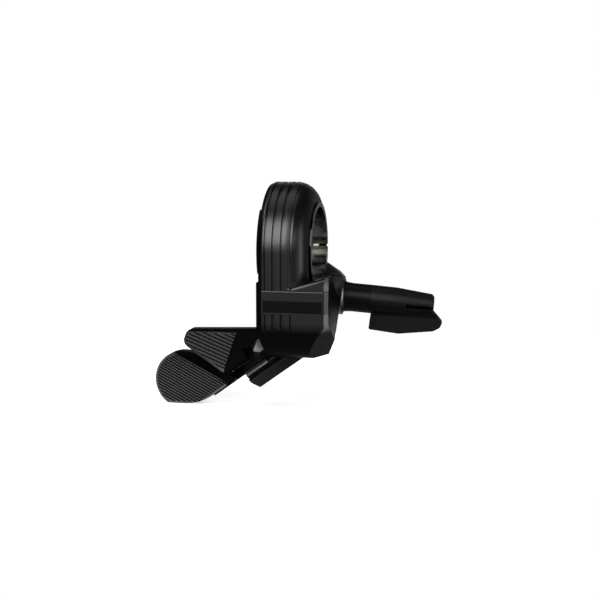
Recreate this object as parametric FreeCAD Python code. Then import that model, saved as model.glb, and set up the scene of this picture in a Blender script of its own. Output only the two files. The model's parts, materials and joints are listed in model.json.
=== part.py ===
"""Electronic shift switch for a bicycle handlebar, left hand, worked by the thumb.

Frame, in millimetres: the origin is the centre of the clamp bore, +X runs along the bar
towards the wire port, +Y points forward (away from the rider) and +Z points up.
"""
import FreeCAD
import Part
import math
import os

Vec = FreeCAD.Vector

# Clearances
SEAT_CLEARANCE = 0.05
HOLE_CLEARANCE = 0.1
WINDOW_CLEARANCE = 0.4
RUNNING_CLEARANCE = 0.04
CONTACT_GAP = 0.06

# Clamp band with its ears, bolt and nut
BAR_DIAMETER = 22.2
BAND_WALL = 1.2
BAND_LEFT = -5.4
BAND_RIGHT = 7.0
SPLIT_GAP = 0.6
EAR_THICKNESS = 3.0
EAR_EDGE = 4.0
EAR_WIDTH = 8.0
EAR_CORNER = 1.2
BOLT_DIAMETER = 4.0
BOLT_OFFSET = 4.5
BOLT_HEAD_DIAMETER = 7.0
BOLT_HEAD_HEIGHT = 3.4
BOLT_SOCKET_WIDTH = 3.0
BOLT_SOCKET_DEPTH = 1.8
NUT_WIDTH = 7.0
NUT_HEIGHT = 3.0

# Ring of the housing, ribbed like a small tyre
RING_LEFT = -5.65
RING_RIGHT = 6.5
RING_THICKNESS = 5.25
CROWN_LEFT = -4.6
CROWN_RIGHT = 1.6
LEFT_SHOULDER_DROP = 0.5
RIM_THICKNESS = 0.95
SHOULDER_BULGE = 1.0
SHOULDER_STEPS = 4
RIB_COUNT = 3
RIB_PITCH = 2.2
FIRST_GROOVE = -3.85
GROOVE_WIDTH = 0.95
EDGE_GROOVE_WIDTH = 0.5
GROOVE_DEPTH = 0.8
RIB_TAIL = 4.2
RIB_FADE = 1.6
GROOVE_SWEEP = 205.0
SIDE_RAISE = 0.6
SIDE_RAISE_TOP = 10.7
SIDE_RAISE_BOTTOM = -5.3
SIDE_RAISE_INSET = 0.7
SIDE_RAISE_BEVEL = 0.5
SIDE_RAISE_STEP = 0.1

# Switch case under the ring
CASE_RIGHT = 12.4
CASE_BOTTOM = -27.3
CASE_BACK = 12.6
CASE_FRONT_ROUND = 1.25
CASE_BACK_SLOPE = 9.0
CASE_BACK_RADIUS = 2.0
BROW_LEFT_DROP = 8.9
BROW_RISE = 3.2
FRONT_BEVEL = 1.1
FRONT_WALL_DEPTH = 6.8
POCKET_TOP = -12.5
LEFT_CUT_START = -21.6
LEFT_CUT_RUN = 2.3
FACET_START = -18.6
BACK_BEVEL_START = -15.6
FACET_NORMAL = Vec(0.77, -0.33, -0.54)
BACK_BEVEL_NORMAL = Vec(0.92, 0.27, -0.27)
GUSSET_TOP = -3.9
GUSSET_KNEE = (1.4, 3.4)
GUSSET_THICKNESS = 3.0
GUSSET_BITE = 1.0
POCKET_END = 9.6

# Label on the front
LABEL_LEFT = -4.3
LABEL_RIGHT = 10.9
LABEL_TOP = -9.3
LABEL_SPLIT = -11.8
LABEL_BOTTOM = -14.9
LABEL_PROUD = 0.25
LABEL_DEPTH = 0.6
LABEL_THICKNESS = 0.45
LABEL_LIP = 0.4

# Board cavity, its side cover and seal
WALL = 2.3
CAVITY_BACK_WALL = 1.0
CAVITY_RIGHT = 10.0
CAVITY_TOP = -10.4
CAVITY_BOTTOM = -17.6
WELL_LEFT = -3.0
WELL_RIGHT = 5.0
WELL_BOTTOM = -25.3
GASKET_WIDTH = 0.5
GASKET_DEPTH = 0.8
GASKET_INSET = 0.3
COVER_MARGIN = 3.0
COVER_CORNER = 2.0
COVER_SCREW_DIAMETER = 1.6
COVER_SCREW_HEAD = 2.4
COVER_SCREW_LENGTH = 3.0
COVER_SCREW_HEAD_HEIGHT = 0.35
COVER_SCREW_SLOT = 0.25
COVER_SCREW_OFFSET = 1.9
BOARD_THICKNESS = 0.8
BOARD_GAP = 0.1

# Levers: a pin leans up and outboard, and both levers turn about it
LEVER_TILT = 36.0
PIVOT_ALONG = 21.0
PIVOT_BEHIND_WALL = 5.5
PIN_DIAMETER = 3.0
PIN_TOP_GAP = 0.1
PIN_END_GAP = 0.15
BUSH_WALL = 0.6
HUB_RADIUS = 3.8
TAIL_END = 10.8
PRESS_ALONG = 12.0
TAIL_WIDTH = 4.4
TAIL_CORNERS = (0.8, 0.4)
LOWER_ARM_BOTTOM = -20.2
LOWER_ARM_THICKNESS = 2.6
WASHER_THICKNESS = 0.25
UPPER_ARM_THICKNESS = 3.0
TAB_THICKNESS = 1.3
TAB_CORNER = 1.2
PAD_THICKNESS = 3.0
UPPER_PAD_AHEAD = 1.2
LOWER_PAD_BEHIND = 4.3
PAD_SCREW_DIAMETER = 2.0
PAD_SCREW_HEAD = 3.4
PAD_SCREW_HEAD_HEIGHT = 1.2
PAD_SCREW_SOCKET = 1.5
PAD_SCREW_BITE = 1.8
ARM_WIDTH = 3.4
ARM_CORNER = 0.8
LOWER_ARM_BEND = 2.0
ARM_RIB = 0.7
ARM_RIB_HEIGHT = 0.6
UPPER_TAB_WIDTH = 6.5
UPPER_TAB_TOP = -7.4
UPPER_SCREW_ALONG = 29.85
UPPER_SCREW_UP = -10.6
LOWER_TAB_WIDTH = 7.4
LOWER_TAB_TOP = -9.0
LOWER_SCREW_ALONG = 38.3
LOWER_SCREW_UP = -12.6

# Thumb pads
UPPER_RIDGE_PITCH = 0.95
UPPER_RIDGE_SLOPE = 22.0
LOWER_RIDGE_PITCH = 0.72
LOWER_RIDGE_SLOPE = 27.0
RIDGE_HEIGHT = 0.45
RIDGE_MARGIN = 0.55
RIDGE_ROOT = 0.2
LOWER_PAD_RADIUS = 8.05
LOWER_PAD_ALONG = 45.7
LOWER_PAD_FLOOR = -42.9
LOWER_PAD_LIFT = 0.5
LOWER_RIB_START = 36.5
LOWER_PAD_HEEL = 1.5
LOWER_PAD_SHOULDER = (1.0, 2.0)
LOWER_PAD_RADII = (0.8, 0, 0, 3.0)
LOWER_PAD_CORNER = 14.0
UPPER_PAD_TIP = (34.3, -1.2)
UPPER_PAD_OUTER = (37.9, -3.5)
UPPER_PAD_FOOT = -16.6
UPPER_PAD_STEP = 25.3
UPPER_PAD_ROOT = 18.8
UPPER_PAD_ROOT_TOP = -11.7
UPPER_RIB_EDGE = (23.9, -9.9)
UPPER_PAD_RADII = (2.4, 2.2, 0.8, 0.4, 0.3, 0.3, 0.3)
UPPER_RIB_RADII = (2.0, 1.8, 0.4, 0.3)
UPPER_RIB_SHIFT = 0.3
PAD_ROOT_GAP = 0.3
SKIRT_DEPTH = 1.15
RIDGE_OPEN = 0.8
UPPER_RIDGES = 9
LOWER_RIDGES = 13

# Bracket that carries the pin
BRACKET_PLATE = 3.2
BRACKET_TOP_PLATE = 1.5
BRACKET_END = 26.6
BRACKET_END_SPLAY = 1.9
BRACKET_END_SLOPE = 1.9
BRACKET_CORNER = 3.5
BRACKET_FRONT_CORNER = 1.0
BRACKET_FLANGE = 1.8
BRACKET_BEHIND = 8.8
BRACKET_AHEAD = 5.3
BRACKET_FLANGE_WIDTH = 7.0
BRACKET_SCREW_BEHIND = 5.1
BRACKET_SCREW_TOP = -15.8
BRACKET_SCREW_BOTTOM = -20.2
BRACKET_SCREW_DIAMETER = 2.0
BRACKET_SCREW_DEPTH = 3.6
BRACKET_SCREW_HEAD = 3.2
BRACKET_SCREW_HEAD_HEIGHT = 1.3
BRACKET_RIB = 4.6
BRACKET_RIB_INSET = 0.5
BRACKET_LIP = 0.65
BRACKET_LIP_START = 15.0
BRACKET_LIP_RAISE = 0.5
BRACKET_BEAD = 1.1
EYE_RADIUS = 2.4
RIB_CLEARANCE = 0.15
CLIP_THICKNESS = 0.4
CLIP_BORE = 1.1
CLIP_RADIUS = 2.5
CLIP_RECESS = 1.3
SPRING_STRIP = 0.3
SPRING_PITCH = 0.5
SPRING_HALF_TURNS = 4
SPRING_ROOM = 1.6

# Tact switches
SWITCH_SIZE = 2.9
SWITCH_LID = 0.4
PLUNGER_DIAMETER = 1.8
PLUNGER_FLANGE = 2.3
PLUNGER_FLANGE_THICKNESS = 0.5
PLUNGER_REACH = 1.4

# Wire port
PORT_X = 12.0
PORT_Y = 9.0
PORT_Z = -13.8
PORT_TILT = 4.0
PORT_BOSS_RADIUS = 5.0
PORT_BOSS_DEPTH = 7.0
STEM_RADIUS = 3.9
STEM_ROOT_RADIUS = 4.6
STEM_ROOT_STEP = 0.5
STEM_ROOT_LENGTH = 2.4
STEM_LENGTH = 7.6
SPIGOT_RADIUS = 3.3
NOSE_RADIUS = 2.8
NOSE_LENGTH = 6.0
STEM_BORE = 1.9
SEAL_DIAMETER = 0.8
SEAL_PLACE = -1.2
CONTACT_BLOCK_END = 5.0
CONTACT_PITCH = 1.6
CONTACT_WIDTH = 0.6
CONTACT_LENGTH = 5.0
SOCKET_DEPTH = 5.0
PLUG_LENGTH = 17.0
PLUG_END_RADIUS = 2.9
PLUG_END_BEVEL = 0.6
PLUG_TAPER_START = 6.8
PLUG_TAPER_STEP = 0.1
PLUG_FIN_DROP = 8.5
PLUG_FIN_WIDTH = 3.6
PLUG_FIN_REACH = 3.4
PLUG_FIN_ROOT = 1.3
PLUG_FIN_START = 0.4
PLUG_FIN_BELLY = 8.2
PLUG_FIN_HEEL = (0.6, 1.6)
PLUG_FIN_TOE = 3.4
PLUG_FIN_RADII = (0.5, 0, 0.8, 1.4, 0, 0)
SLIT_LENGTH = 6.6
SLIT_WIDTH = 0.7
SLIT_RISE = -0.6
SLIT_HOLE_RADIUS = 0.55
WIRE_EXIT_RADIUS = 1.2
LEAD_WIDTH = 2.0
LEAD_THICKNESS = 0.3
LEAD_ROOM = 0.25
LEAD_BACK = 3.5
LEAD_UNDER_BAR = 2.85

# Sizes worked out from the above
BAR_RADIUS = BAR_DIAMETER / 2
BAND_OUTER = BAR_RADIUS + BAND_WALL
SEAT_RADIUS = BAND_OUTER + SEAT_CLEARANCE
BOLT_REACH = BAND_OUTER + BOLT_OFFSET
EAR_REACH = BOLT_REACH + EAR_EDGE
CROWN_RADIUS = SEAT_RADIUS + RING_THICKNESS
RIM_RADIUS = SEAT_RADIUS + RIM_THICKNESS
FRONT = -CROWN_RADIUS
CASE_FRONT_RADIUS = RING_THICKNESS + CASE_FRONT_ROUND
POCKET_WALL = CROWN_RADIUS - FRONT_WALL_DEPTH
PIVOT_TOWARD = POCKET_WALL - PIVOT_BEHIND_WALL
UPPER_PAD_BACK = PIVOT_TOWARD + UPPER_PAD_AHEAD
LOWER_PAD_BACK = PIVOT_TOWARD - LOWER_PAD_BEHIND
UPPER_TAB_START = UPPER_SCREW_ALONG - UPPER_TAB_WIDTH / 2
UPPER_ARM_END = UPPER_SCREW_ALONG + UPPER_TAB_WIDTH / 2
LOWER_TAB_START = LOWER_SCREW_ALONG - LOWER_TAB_WIDTH / 2
LOWER_ARM_END = LOWER_SCREW_ALONG + LOWER_TAB_WIDTH / 2
BRACKET_BACK = PIVOT_TOWARD - BRACKET_BEHIND
BRACKET_FRONT = PIVOT_TOWARD + BRACKET_AHEAD
BRACKET_FLANGE_FRONT = BRACKET_BACK + BRACKET_FLANGE_WIDTH
BRACKET_SCREW_TOWARD = PIVOT_TOWARD - BRACKET_SCREW_BEHIND
SPRING_INNER = PIN_DIAMETER / 2 + RUNNING_CLEARANCE + SPRING_STRIP / 2
SPRING_REACH = SPRING_INNER + SPRING_PITCH * (SPRING_HALF_TURNS + 1) / 2
LEAD_X = PORT_X - LEAD_BACK
LEAD_Z = -SEAT_RADIUS - LEAD_UNDER_BAR
FAR = 60.0
OVERSHOOT = 1.0


def block(x0, x1, y0, y1, z0, z1):
    return Part.makeBox(x1 - x0, y1 - y0, z1 - z0, Vec(x0, y0, z0))


def rod(radius, start, end):
    axis = end - start
    return Part.makeCylinder(radius, axis.Length, start, axis)


def tube(outer, inner, start, end):
    return rod(outer, start, end).cut(rod(inner, start, end))


def prism(points, direction):
    return Part.Face(Part.makePolygon(points + points[:1])).extrude(direction)


def turned(profile):
    """Solid turned about X from (x, radius) points."""
    points = [Vec(x, 0, radius) for x, radius in profile]
    face = Part.Face(Part.makePolygon(points + points[:1]))
    return face.revolve(Vec(0, 0, 0), Vec(1, 0, 0), 360)


def hexagon(width, start, end):
    """Six-sided bar along a line, sized across its flats."""
    axis = end - start
    radius = width / math.sqrt(3)
    turn = FreeCAD.Rotation(Vec(0, 0, 1), axis)
    points = []
    for i in range(6):
        angle = math.radians(60 * i)
        corner = Vec(radius * math.cos(angle), radius * math.sin(angle), 0)
        points.append(start + turn.multVec(corner))
    return prism(points, axis)


def beyond(origin, outward):
    """Large block on the outer side of a plane."""
    turn = FreeCAD.Rotation(Vec(0, 0, 1), outward)
    slab = Part.makeBox(2 * FAR, 2 * FAR, FAR, Vec(-FAR, -FAR, 0))
    slab.Placement = FreeCAD.Placement(origin, turn)
    return slab


def fused(shapes):
    return shapes[0].fuse(shapes[1:]).removeSplitter()


# Lever frame: first axis along the lever, second towards the rider, third up the pin
tilt = math.radians(LEVER_TILT)
ALONG = Vec(-math.cos(tilt), 0, -math.sin(tilt))
TOWARD = Vec(0, -1, 0)
UP_PIN = Vec(-math.sin(tilt), 0, math.cos(tilt))
LEVER_FRAME = FreeCAD.Placement(Vec(0, 0, 0), FreeCAD.Rotation(ALONG, TOWARD, UP_PIN, "ZXY"))
PORT_FRAME = FreeCAD.Placement(Vec(PORT_X, PORT_Y, PORT_Z), FreeCAD.Rotation(Vec(0, 1, 0), PORT_TILT))


def placed(shape, frame):
    moved = shape.copy()
    moved.Placement = frame.multiply(moved.Placement)
    return moved


def lever_point(along, toward, up):
    return LEVER_FRAME.multVec(Vec(along, toward, up))


def outline(points, radii):
    """Flat face inside a closed outline whose corners are rounded by the given radii."""
    count = len(points)
    edges = []
    starts = []
    ends = []
    for i in range(count):
        corner = points[i]
        back = (points[i - 1] - corner).normalize()
        ahead = (points[(i + 1) % count] - corner).normalize()
        half = back.getAngle(ahead) / 2
        run = radii[i] / math.tan(half)
        starts.append(corner + back * run)
        ends.append(corner + ahead * run)
        if radii[i] > 0:
            inward = (back + ahead).normalize()
            middle = corner + inward * (radii[i] / math.sin(half) - radii[i])
            edges.append(Part.Arc(starts[i], middle, ends[i]).toShape())
    for i in range(count):
        edges.append(Part.makeLine(ends[i], starts[(i + 1) % count]))
    return Part.Face(Part.Wire(Part.__sortEdges__(edges)))


def front_plate(corners, radii, back, front):
    """Plate in the lever frame: corners are (along, up), thickness runs towards the rider."""
    points = [Vec(along, back, up) for along, up in corners]
    return outline(points, radii).extrude(Vec(0, front - back, 0))


def flat_plate(corners, radii, bottom, top):
    """Plate in the lever frame: corners are (along, toward), thickness runs up the pin."""
    points = [Vec(along, toward, bottom) for along, toward in corners]
    return outline(points, radii).extrude(Vec(0, 0, top - bottom))


def side_plate(corners, radii, left, right):
    """Plate across X: corners are (y, z)."""
    points = [Vec(left, y, z) for y, z in corners]
    return outline(points, radii).extrude(Vec(right - left, 0, 0))


def rectangle(low_y, high_y, low_z, high_z):
    return [(low_y, low_z), (high_y, low_z), (high_y, high_z), (low_y, high_z)]


# Heights up the pin
LOWER_ARM_TOP = LOWER_ARM_BOTTOM + LOWER_ARM_THICKNESS
UPPER_ARM_BOTTOM = LOWER_ARM_TOP + WASHER_THICKNESS
UPPER_ARM_TOP = UPPER_ARM_BOTTOM + UPPER_ARM_THICKNESS
BRACKET_TOP_UNDER = POCKET_TOP - BRACKET_TOP_PLATE
BRACKET_FLOOR = LOWER_ARM_BOTTOM - SPRING_ROOM
BRACKET_UNDER = BRACKET_FLOOR - BRACKET_PLATE

# Depths towards the rider, from the pocket's front wall
CAVITY_BACK = POCKET_WALL + CAVITY_BACK_WALL
CAVITY_FRONT = CROWN_RADIUS - WALL
BOARD_FRONT = CAVITY_FRONT - BOARD_GAP
BOARD_BACK = BOARD_FRONT - BOARD_THICKNESS
TAIL_FACE = POCKET_WALL - PLUNGER_REACH - CONTACT_GAP
LOWER_PRESS_UP = (LOWER_ARM_BOTTOM + LOWER_ARM_TOP) / 2
UPPER_PRESS_UP = (UPPER_ARM_BOTTOM + UPPER_ARM_TOP) / 2
COVER_LEFT = RING_LEFT - SIDE_RAISE
MOUTH = (-CAVITY_FRONT, -CAVITY_BACK, CAVITY_BOTTOM, CAVITY_TOP)


def grown(rect, margin):
    low_y, high_y, low_z, high_z = rect
    return rectangle(low_y - margin, high_y + margin, low_z - margin, high_z + margin)


def cover_screw_places():
    middle = (MOUTH[0] + MOUTH[1]) / 2
    return [(middle, MOUTH[3] + COVER_SCREW_OFFSET), (middle, MOUTH[2] - COVER_SCREW_OFFSET)]


def ring_section():
    """Half section of the ring: chamfered left shoulder, flat crown, round right shoulder."""
    top = Vec(CROWN_RIGHT, 0, CROWN_RADIUS)
    chord = Vec(RING_RIGHT, 0, RIM_RADIUS) - top
    outward = Vec(-chord.z, 0, chord.x).normalize()
    corners = [
        Vec(RING_RIGHT, 0, SEAT_RADIUS),
        Vec(RING_LEFT, 0, SEAT_RADIUS),
        Vec(RING_LEFT, 0, CROWN_RADIUS - LEFT_SHOULDER_DROP),
        Vec(CROWN_LEFT, 0, CROWN_RADIUS),
    ]
    for i in range(SHOULDER_STEPS + 1):
        part = i / SHOULDER_STEPS
        corners.append(top + chord * part + outward * (4 * SHOULDER_BULGE * part * (1 - part)))
    return Part.Face(Part.makePolygon(corners + corners[:1]))


def ring_and_front():
    """Tyre-like ring, carried straight down the front and round under the case."""
    section = ring_section()
    section.rotate(Vec(0, 0, 0), Vec(1, 0, 0), 90)
    ring = section.revolve(Vec(0, 0, 0), Vec(-1, 0, 0), 270)
    drop = CASE_BOTTOM + CASE_FRONT_RADIUS
    column = section.extrude(Vec(0, 0, drop))
    section.translate(Vec(0, 0, drop))
    under = section.revolve(Vec(0, FRONT + CASE_FRONT_RADIUS, drop), Vec(1, 0, 0), 90)
    return [ring, column, under]


def case_outline(left, right, top):
    """Case body with a round lower front and a sloped lower back."""
    corners = [
        (FRONT, top),
        (FRONT, CASE_BOTTOM),
        (CASE_BACK - CASE_BACK_SLOPE, CASE_BOTTOM),
        (CASE_BACK, CASE_BOTTOM + CASE_BACK_SLOPE),
        (CASE_BACK, top),
    ]
    radii = [0, CASE_FRONT_RADIUS, CASE_BACK_RADIUS, CASE_BACK_RADIUS, 0]
    return side_plate(corners, radii, left, right)


def right_block():
    """Part of the case beside the ring, under a sloping brow and bevelled at its corners."""
    body = case_outline(CROWN_RIGHT, CASE_RIGHT, 0)
    run = CASE_RIGHT - CROWN_RIGHT
    cuts = [
        beyond(Vec(CROWN_RIGHT, 0, -BROW_LEFT_DROP), Vec(-BROW_RISE, 0, run)),
        beyond(Vec(CASE_RIGHT - FRONT_BEVEL, FRONT, 0), Vec(1, -1, 0)),
        beyond(Vec(CASE_RIGHT - FRONT_BEVEL, FRONT, FACET_START), FACET_NORMAL),
        beyond(Vec(CASE_RIGHT, 0, BACK_BEVEL_START), BACK_BEVEL_NORMAL),
        block(-FAR, FAR, 0, FAR, PORT_Z + PORT_BOSS_RADIUS - OVERSHOOT, FAR),
    ]
    for cut in cuts:
        body = body.cut(cut)
    return body


def gusset():
    """Web behind the bar, from the ring's rim down to the wire port."""
    corners = [
        Vec(RING_RIGHT - GUSSET_BITE, 0, GUSSET_TOP),
        Vec(PORT_X - GUSSET_KNEE[0], 0, GUSSET_TOP - GUSSET_KNEE[1]),
        Vec(PORT_X, 0, PORT_Z + PORT_BOSS_RADIUS),
        Vec(PORT_X, 0, PORT_Z),
        Vec(RING_RIGHT - GUSSET_BITE, 0, PORT_Z),
    ]
    web = prism(corners, Vec(0, GUSSET_THICKNESS, 0))
    web.translate(Vec(0, CASE_BACK - GUSSET_THICKNESS, 0))
    return web


def side_raise():
    """Raised panel on the ring's left face, in front of and behind the bar."""
    outer = CROWN_RADIUS - LEFT_SHOULDER_DROP - SIDE_RAISE_STEP
    inner = SEAT_RADIUS + SIDE_RAISE_INSET
    panel = turned([
        (RING_LEFT, inner),
        (RING_LEFT, outer),
        (COVER_LEFT, outer - SIDE_RAISE_BEVEL),
        (COVER_LEFT, inner + SIDE_RAISE_BEVEL),
    ])
    band = block(-FAR, FAR, -FAR, FAR, SIDE_RAISE_BOTTOM, SIDE_RAISE_TOP)
    return panel.common(band)


def rib_grooves():
    """Grooves round the ring and down the front, stopped by the label."""
    bottom = CROWN_RADIUS - GROOVE_DEPTH
    top = CROWN_RADIUS + OVERSHOOT
    fade = LABEL_BOTTOM - RIB_TAIL
    cutters = []
    for i in range(RIB_COUNT + 1):
        inner = 0 < i < RIB_COUNT
        width = GROOVE_WIDTH if inner else EDGE_GROOVE_WIDTH
        left = FIRST_GROOVE + i * RIB_PITCH - width / 2
        side = Vec(width, 0, 0)
        strip = [Vec(left, -bottom, 0), Vec(left, -top, 0)]
        face = Part.Face(Part.makePolygon([
            strip[0],
            strip[1],
            strip[1] + side,
            strip[0] + side,
            strip[0],
        ]))
        cutters.append(face.revolve(Vec(0, 0, 0), Vec(-1, 0, 0), GROOVE_SWEEP))
        cutters.append(block(left, left + width, -top, -bottom, LABEL_TOP, 0))
        cutters.append(prism([
            Vec(left, -top, LABEL_BOTTOM - LABEL_LIP),
            Vec(left, -bottom, LABEL_BOTTOM - LABEL_LIP),
            Vec(left, -bottom, fade),
            Vec(left, -top, fade - RIB_FADE),
        ], side))
    return cutters


def label_recess(clearance, depth):
    return block(
        LABEL_LEFT + clearance, LABEL_RIGHT - clearance,
        FRONT - LABEL_PROUD, FRONT - LABEL_PROUD + depth,
        LABEL_BOTTOM + clearance, LABEL_SPLIT - clearance)


def label_surround():
    """Raised band across the front that holds the label and turns the bevelled corner."""
    left = LABEL_LEFT - LABEL_LIP
    raised = FRONT - LABEL_PROUD
    slide = LABEL_PROUD * math.sqrt(2)
    corners = [
        Vec(left, raised, LABEL_TOP),
        Vec(CASE_RIGHT - FRONT_BEVEL - LABEL_PROUD + slide, raised, LABEL_TOP),
        Vec(CASE_RIGHT, FRONT + FRONT_BEVEL - slide, LABEL_TOP),
        Vec(CASE_RIGHT, FRONT + FRONT_BEVEL, LABEL_TOP),
        Vec(left, FRONT + FRONT_BEVEL, LABEL_TOP),
    ]
    return prism(corners, Vec(0, 0, LABEL_BOTTOM - LABEL_LIP - LABEL_TOP))


def lever_pocket():
    pocket = Part.makeBox(FAR, FAR, FAR, Vec(POCKET_END, POCKET_WALL - FAR, POCKET_TOP - FAR))
    return placed(pocket, LEVER_FRAME)


def press_line(up, start, end):
    """Line along which a lever's tail pushes its switch."""
    return lever_point(PRESS_ALONG, start, up), lever_point(PRESS_ALONG, end, up)


def lead_strip(clearance):
    """Flat lead under the bar, from the wire port to the board, with room round it."""
    half = LEAD_WIDTH / 2 + clearance
    thick = LEAD_THICKNESS / 2 + clearance
    return block(LEAD_X - half, LEAD_X + half, -BOARD_BACK, PORT_Y - STEM_BORE,
                 LEAD_Z - thick, LEAD_Z + thick)


def bracket_screw_places():
    return [(BRACKET_SCREW_TOWARD, BRACKET_SCREW_TOP), (BRACKET_SCREW_TOWARD, BRACKET_SCREW_BOTTOM)]


def main_housing():
    shapes = ring_and_front()
    shapes.append(case_outline(RING_LEFT, CROWN_RIGHT, 0).cut(
        block(-FAR, FAR, -FAR, -SEAT_RADIUS, -FAR, FAR)))
    shapes.append(right_block())
    shapes.append(gusset())
    boss = rod(PORT_BOSS_RADIUS, Vec(-PORT_BOSS_DEPTH, 0, 0), Vec(0, 0, 0))
    shapes.append(placed(boss, PORT_FRAME))
    shapes.append(side_raise())
    shapes.append(label_surround())
    body = fused(shapes)

    cuts = [rod(SEAT_RADIUS, Vec(-FAR, 0, 0), Vec(FAR, 0, 0))]
    cuts += rib_grooves()
    cuts.append(label_recess(0, LABEL_DEPTH))
    half = EAR_WIDTH / 2 + WINDOW_CLEARANCE
    reach = SPLIT_GAP / 2 + EAR_THICKNESS + WINDOW_CLEARANCE
    cuts.append(block(-half, half, 0, FAR, -reach - BOLT_HEAD_HEIGHT, reach + NUT_HEIGHT))
    cuts.append(lever_pocket())
    left_run = CASE_BOTTOM - LEFT_CUT_START
    cuts.append(beyond(Vec(RING_LEFT, 0, LEFT_CUT_START), Vec(left_run, 0, -LEFT_CUT_RUN)))
    low_y, high_y, low_z, high_z = MOUTH
    cuts.append(block(-FAR, CAVITY_RIGHT, low_y, high_y, low_z, high_z))
    cuts.append(block(WELL_LEFT, WELL_RIGHT, low_y, high_y, WELL_BOTTOM, low_z + OVERSHOOT))
    outer = GASKET_INSET + GASKET_WIDTH + SEAT_CLEARANCE
    groove = side_plate(grown(MOUTH, outer), [0] * 4, RING_LEFT, RING_LEFT + GASKET_DEPTH)
    inner = GASKET_INSET - SEAT_CLEARANCE
    island = side_plate(grown(MOUTH, inner), [0] * 4, RING_LEFT, RING_LEFT + GASKET_DEPTH)
    cuts.append(groove.cut(island))
    for y, z in cover_screw_places():
        start = Vec(RING_LEFT - OVERSHOOT, y, z)
        end = Vec(COVER_LEFT + COVER_SCREW_LENGTH + HOLE_CLEARANCE, y, z)
        cuts.append(rod(COVER_SCREW_DIAMETER / 2 + SEAT_CLEARANCE, start, end))
    hole = PLUNGER_DIAMETER / 2 + RUNNING_CLEARANCE
    for up in (LOWER_PRESS_UP, UPPER_PRESS_UP):
        cuts.append(rod(hole, *press_line(up, POCKET_WALL - OVERSHOOT, CAVITY_BACK + OVERSHOOT)))
    socket = rod(SPIGOT_RADIUS + SEAT_CLEARANCE, Vec(-SOCKET_DEPTH, 0, 0), Vec(OVERSHOOT, 0, 0))
    cuts.append(placed(socket, PORT_FRAME))
    side = STEM_ROOT_RADIUS + HOLE_CLEARANCE
    cuts.append(placed(block(0, FAR, -side, FAR, -FAR, FAR), PORT_FRAME))
    cuts.append(lead_strip(LEAD_ROOM))
    for toward, up in bracket_screw_places():
        start = lever_point(POCKET_END + OVERSHOOT, toward, up)
        end = lever_point(POCKET_END - BRACKET_SCREW_DEPTH - HOLE_CLEARANCE, toward, up)
        cuts.append(rod(BRACKET_SCREW_DIAMETER / 2 + SEAT_CLEARANCE, start, end))
    for cut in cuts:
        body = body.cut(cut)
    return body.removeSplitter()


def clamp_band():
    """Split metal band with two ears behind the bar."""
    band = rod(BAND_OUTER, Vec(BAND_LEFT, 0, 0), Vec(BAND_RIGHT, 0, 0))
    half = EAR_WIDTH / 2
    reach = SPLIT_GAP / 2 + EAR_THICKNESS
    corners = [
        (BAR_RADIUS, -reach),
        (EAR_REACH, -reach),
        (EAR_REACH, reach),
        (BAR_RADIUS, reach),
    ]
    band = band.fuse(side_plate(corners, [0, EAR_CORNER, EAR_CORNER, 0], -half, half))
    band = band.cut(rod(BAR_RADIUS, Vec(-FAR, 0, 0), Vec(FAR, 0, 0)))
    band = band.cut(block(-FAR, FAR, 0, FAR, -SPLIT_GAP / 2, SPLIT_GAP / 2))
    hole = BOLT_DIAMETER / 2 + HOLE_CLEARANCE
    return band.cut(rod(hole, Vec(0, BOLT_REACH, -FAR), Vec(0, BOLT_REACH, FAR)))


def clamp_bolt():
    """Socket-head bolt, head under the lower ear."""
    ear = SPLIT_GAP / 2 + EAR_THICKNESS
    seat = Vec(0, BOLT_REACH, -ear)
    low = seat - Vec(0, 0, BOLT_HEAD_HEIGHT)
    shank = rod(BOLT_DIAMETER / 2, low, Vec(0, BOLT_REACH, ear + NUT_HEIGHT))
    bolt = rod(BOLT_HEAD_DIAMETER / 2, low, seat).fuse(shank)
    return bolt.cut(hexagon(BOLT_SOCKET_WIDTH, low, low + Vec(0, 0, BOLT_SOCKET_DEPTH)))


def clamp_nut():
    ear = SPLIT_GAP / 2 + EAR_THICKNESS
    seat = Vec(0, BOLT_REACH, ear)
    top = seat + Vec(0, 0, NUT_HEIGHT)
    return hexagon(NUT_WIDTH, seat, top).cut(rod(BOLT_DIAMETER / 2 + SEAT_CLEARANCE, seat, top))


def left_side_cover():
    cover = side_plate(grown(MOUTH, COVER_MARGIN), [COVER_CORNER] * 4, COVER_LEFT, RING_LEFT)
    cover = cover.cut(block(-FAR, FAR, -FAR, FRONT + LEFT_SHOULDER_DROP + SIDE_RAISE_STEP, -FAR, FAR))
    cover = cover.cut(rod(SEAT_RADIUS + SIDE_RAISE_INSET, Vec(-FAR, 0, 0), Vec(FAR, 0, 0)))
    for y, z in cover_screw_places():
        hole = rod(COVER_SCREW_DIAMETER / 2 + HOLE_CLEARANCE, Vec(COVER_LEFT, y, z), Vec(RING_LEFT, y, z))
        head = rod(COVER_SCREW_HEAD / 2 + HOLE_CLEARANCE, Vec(COVER_LEFT, y, z),
                   Vec(COVER_LEFT + COVER_SCREW_HEAD_HEIGHT, y, z))
        cover = cover.cut(hole).cut(head)
    return cover


def cover_gasket():
    outer = GASKET_INSET + GASKET_WIDTH
    ring = side_plate(grown(MOUTH, outer), [0] * 4, RING_LEFT, RING_LEFT + GASKET_DEPTH)
    hole = side_plate(grown(MOUTH, GASKET_INSET), [0] * 4, RING_LEFT, RING_LEFT + GASKET_DEPTH)
    return ring.cut(hole)


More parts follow.
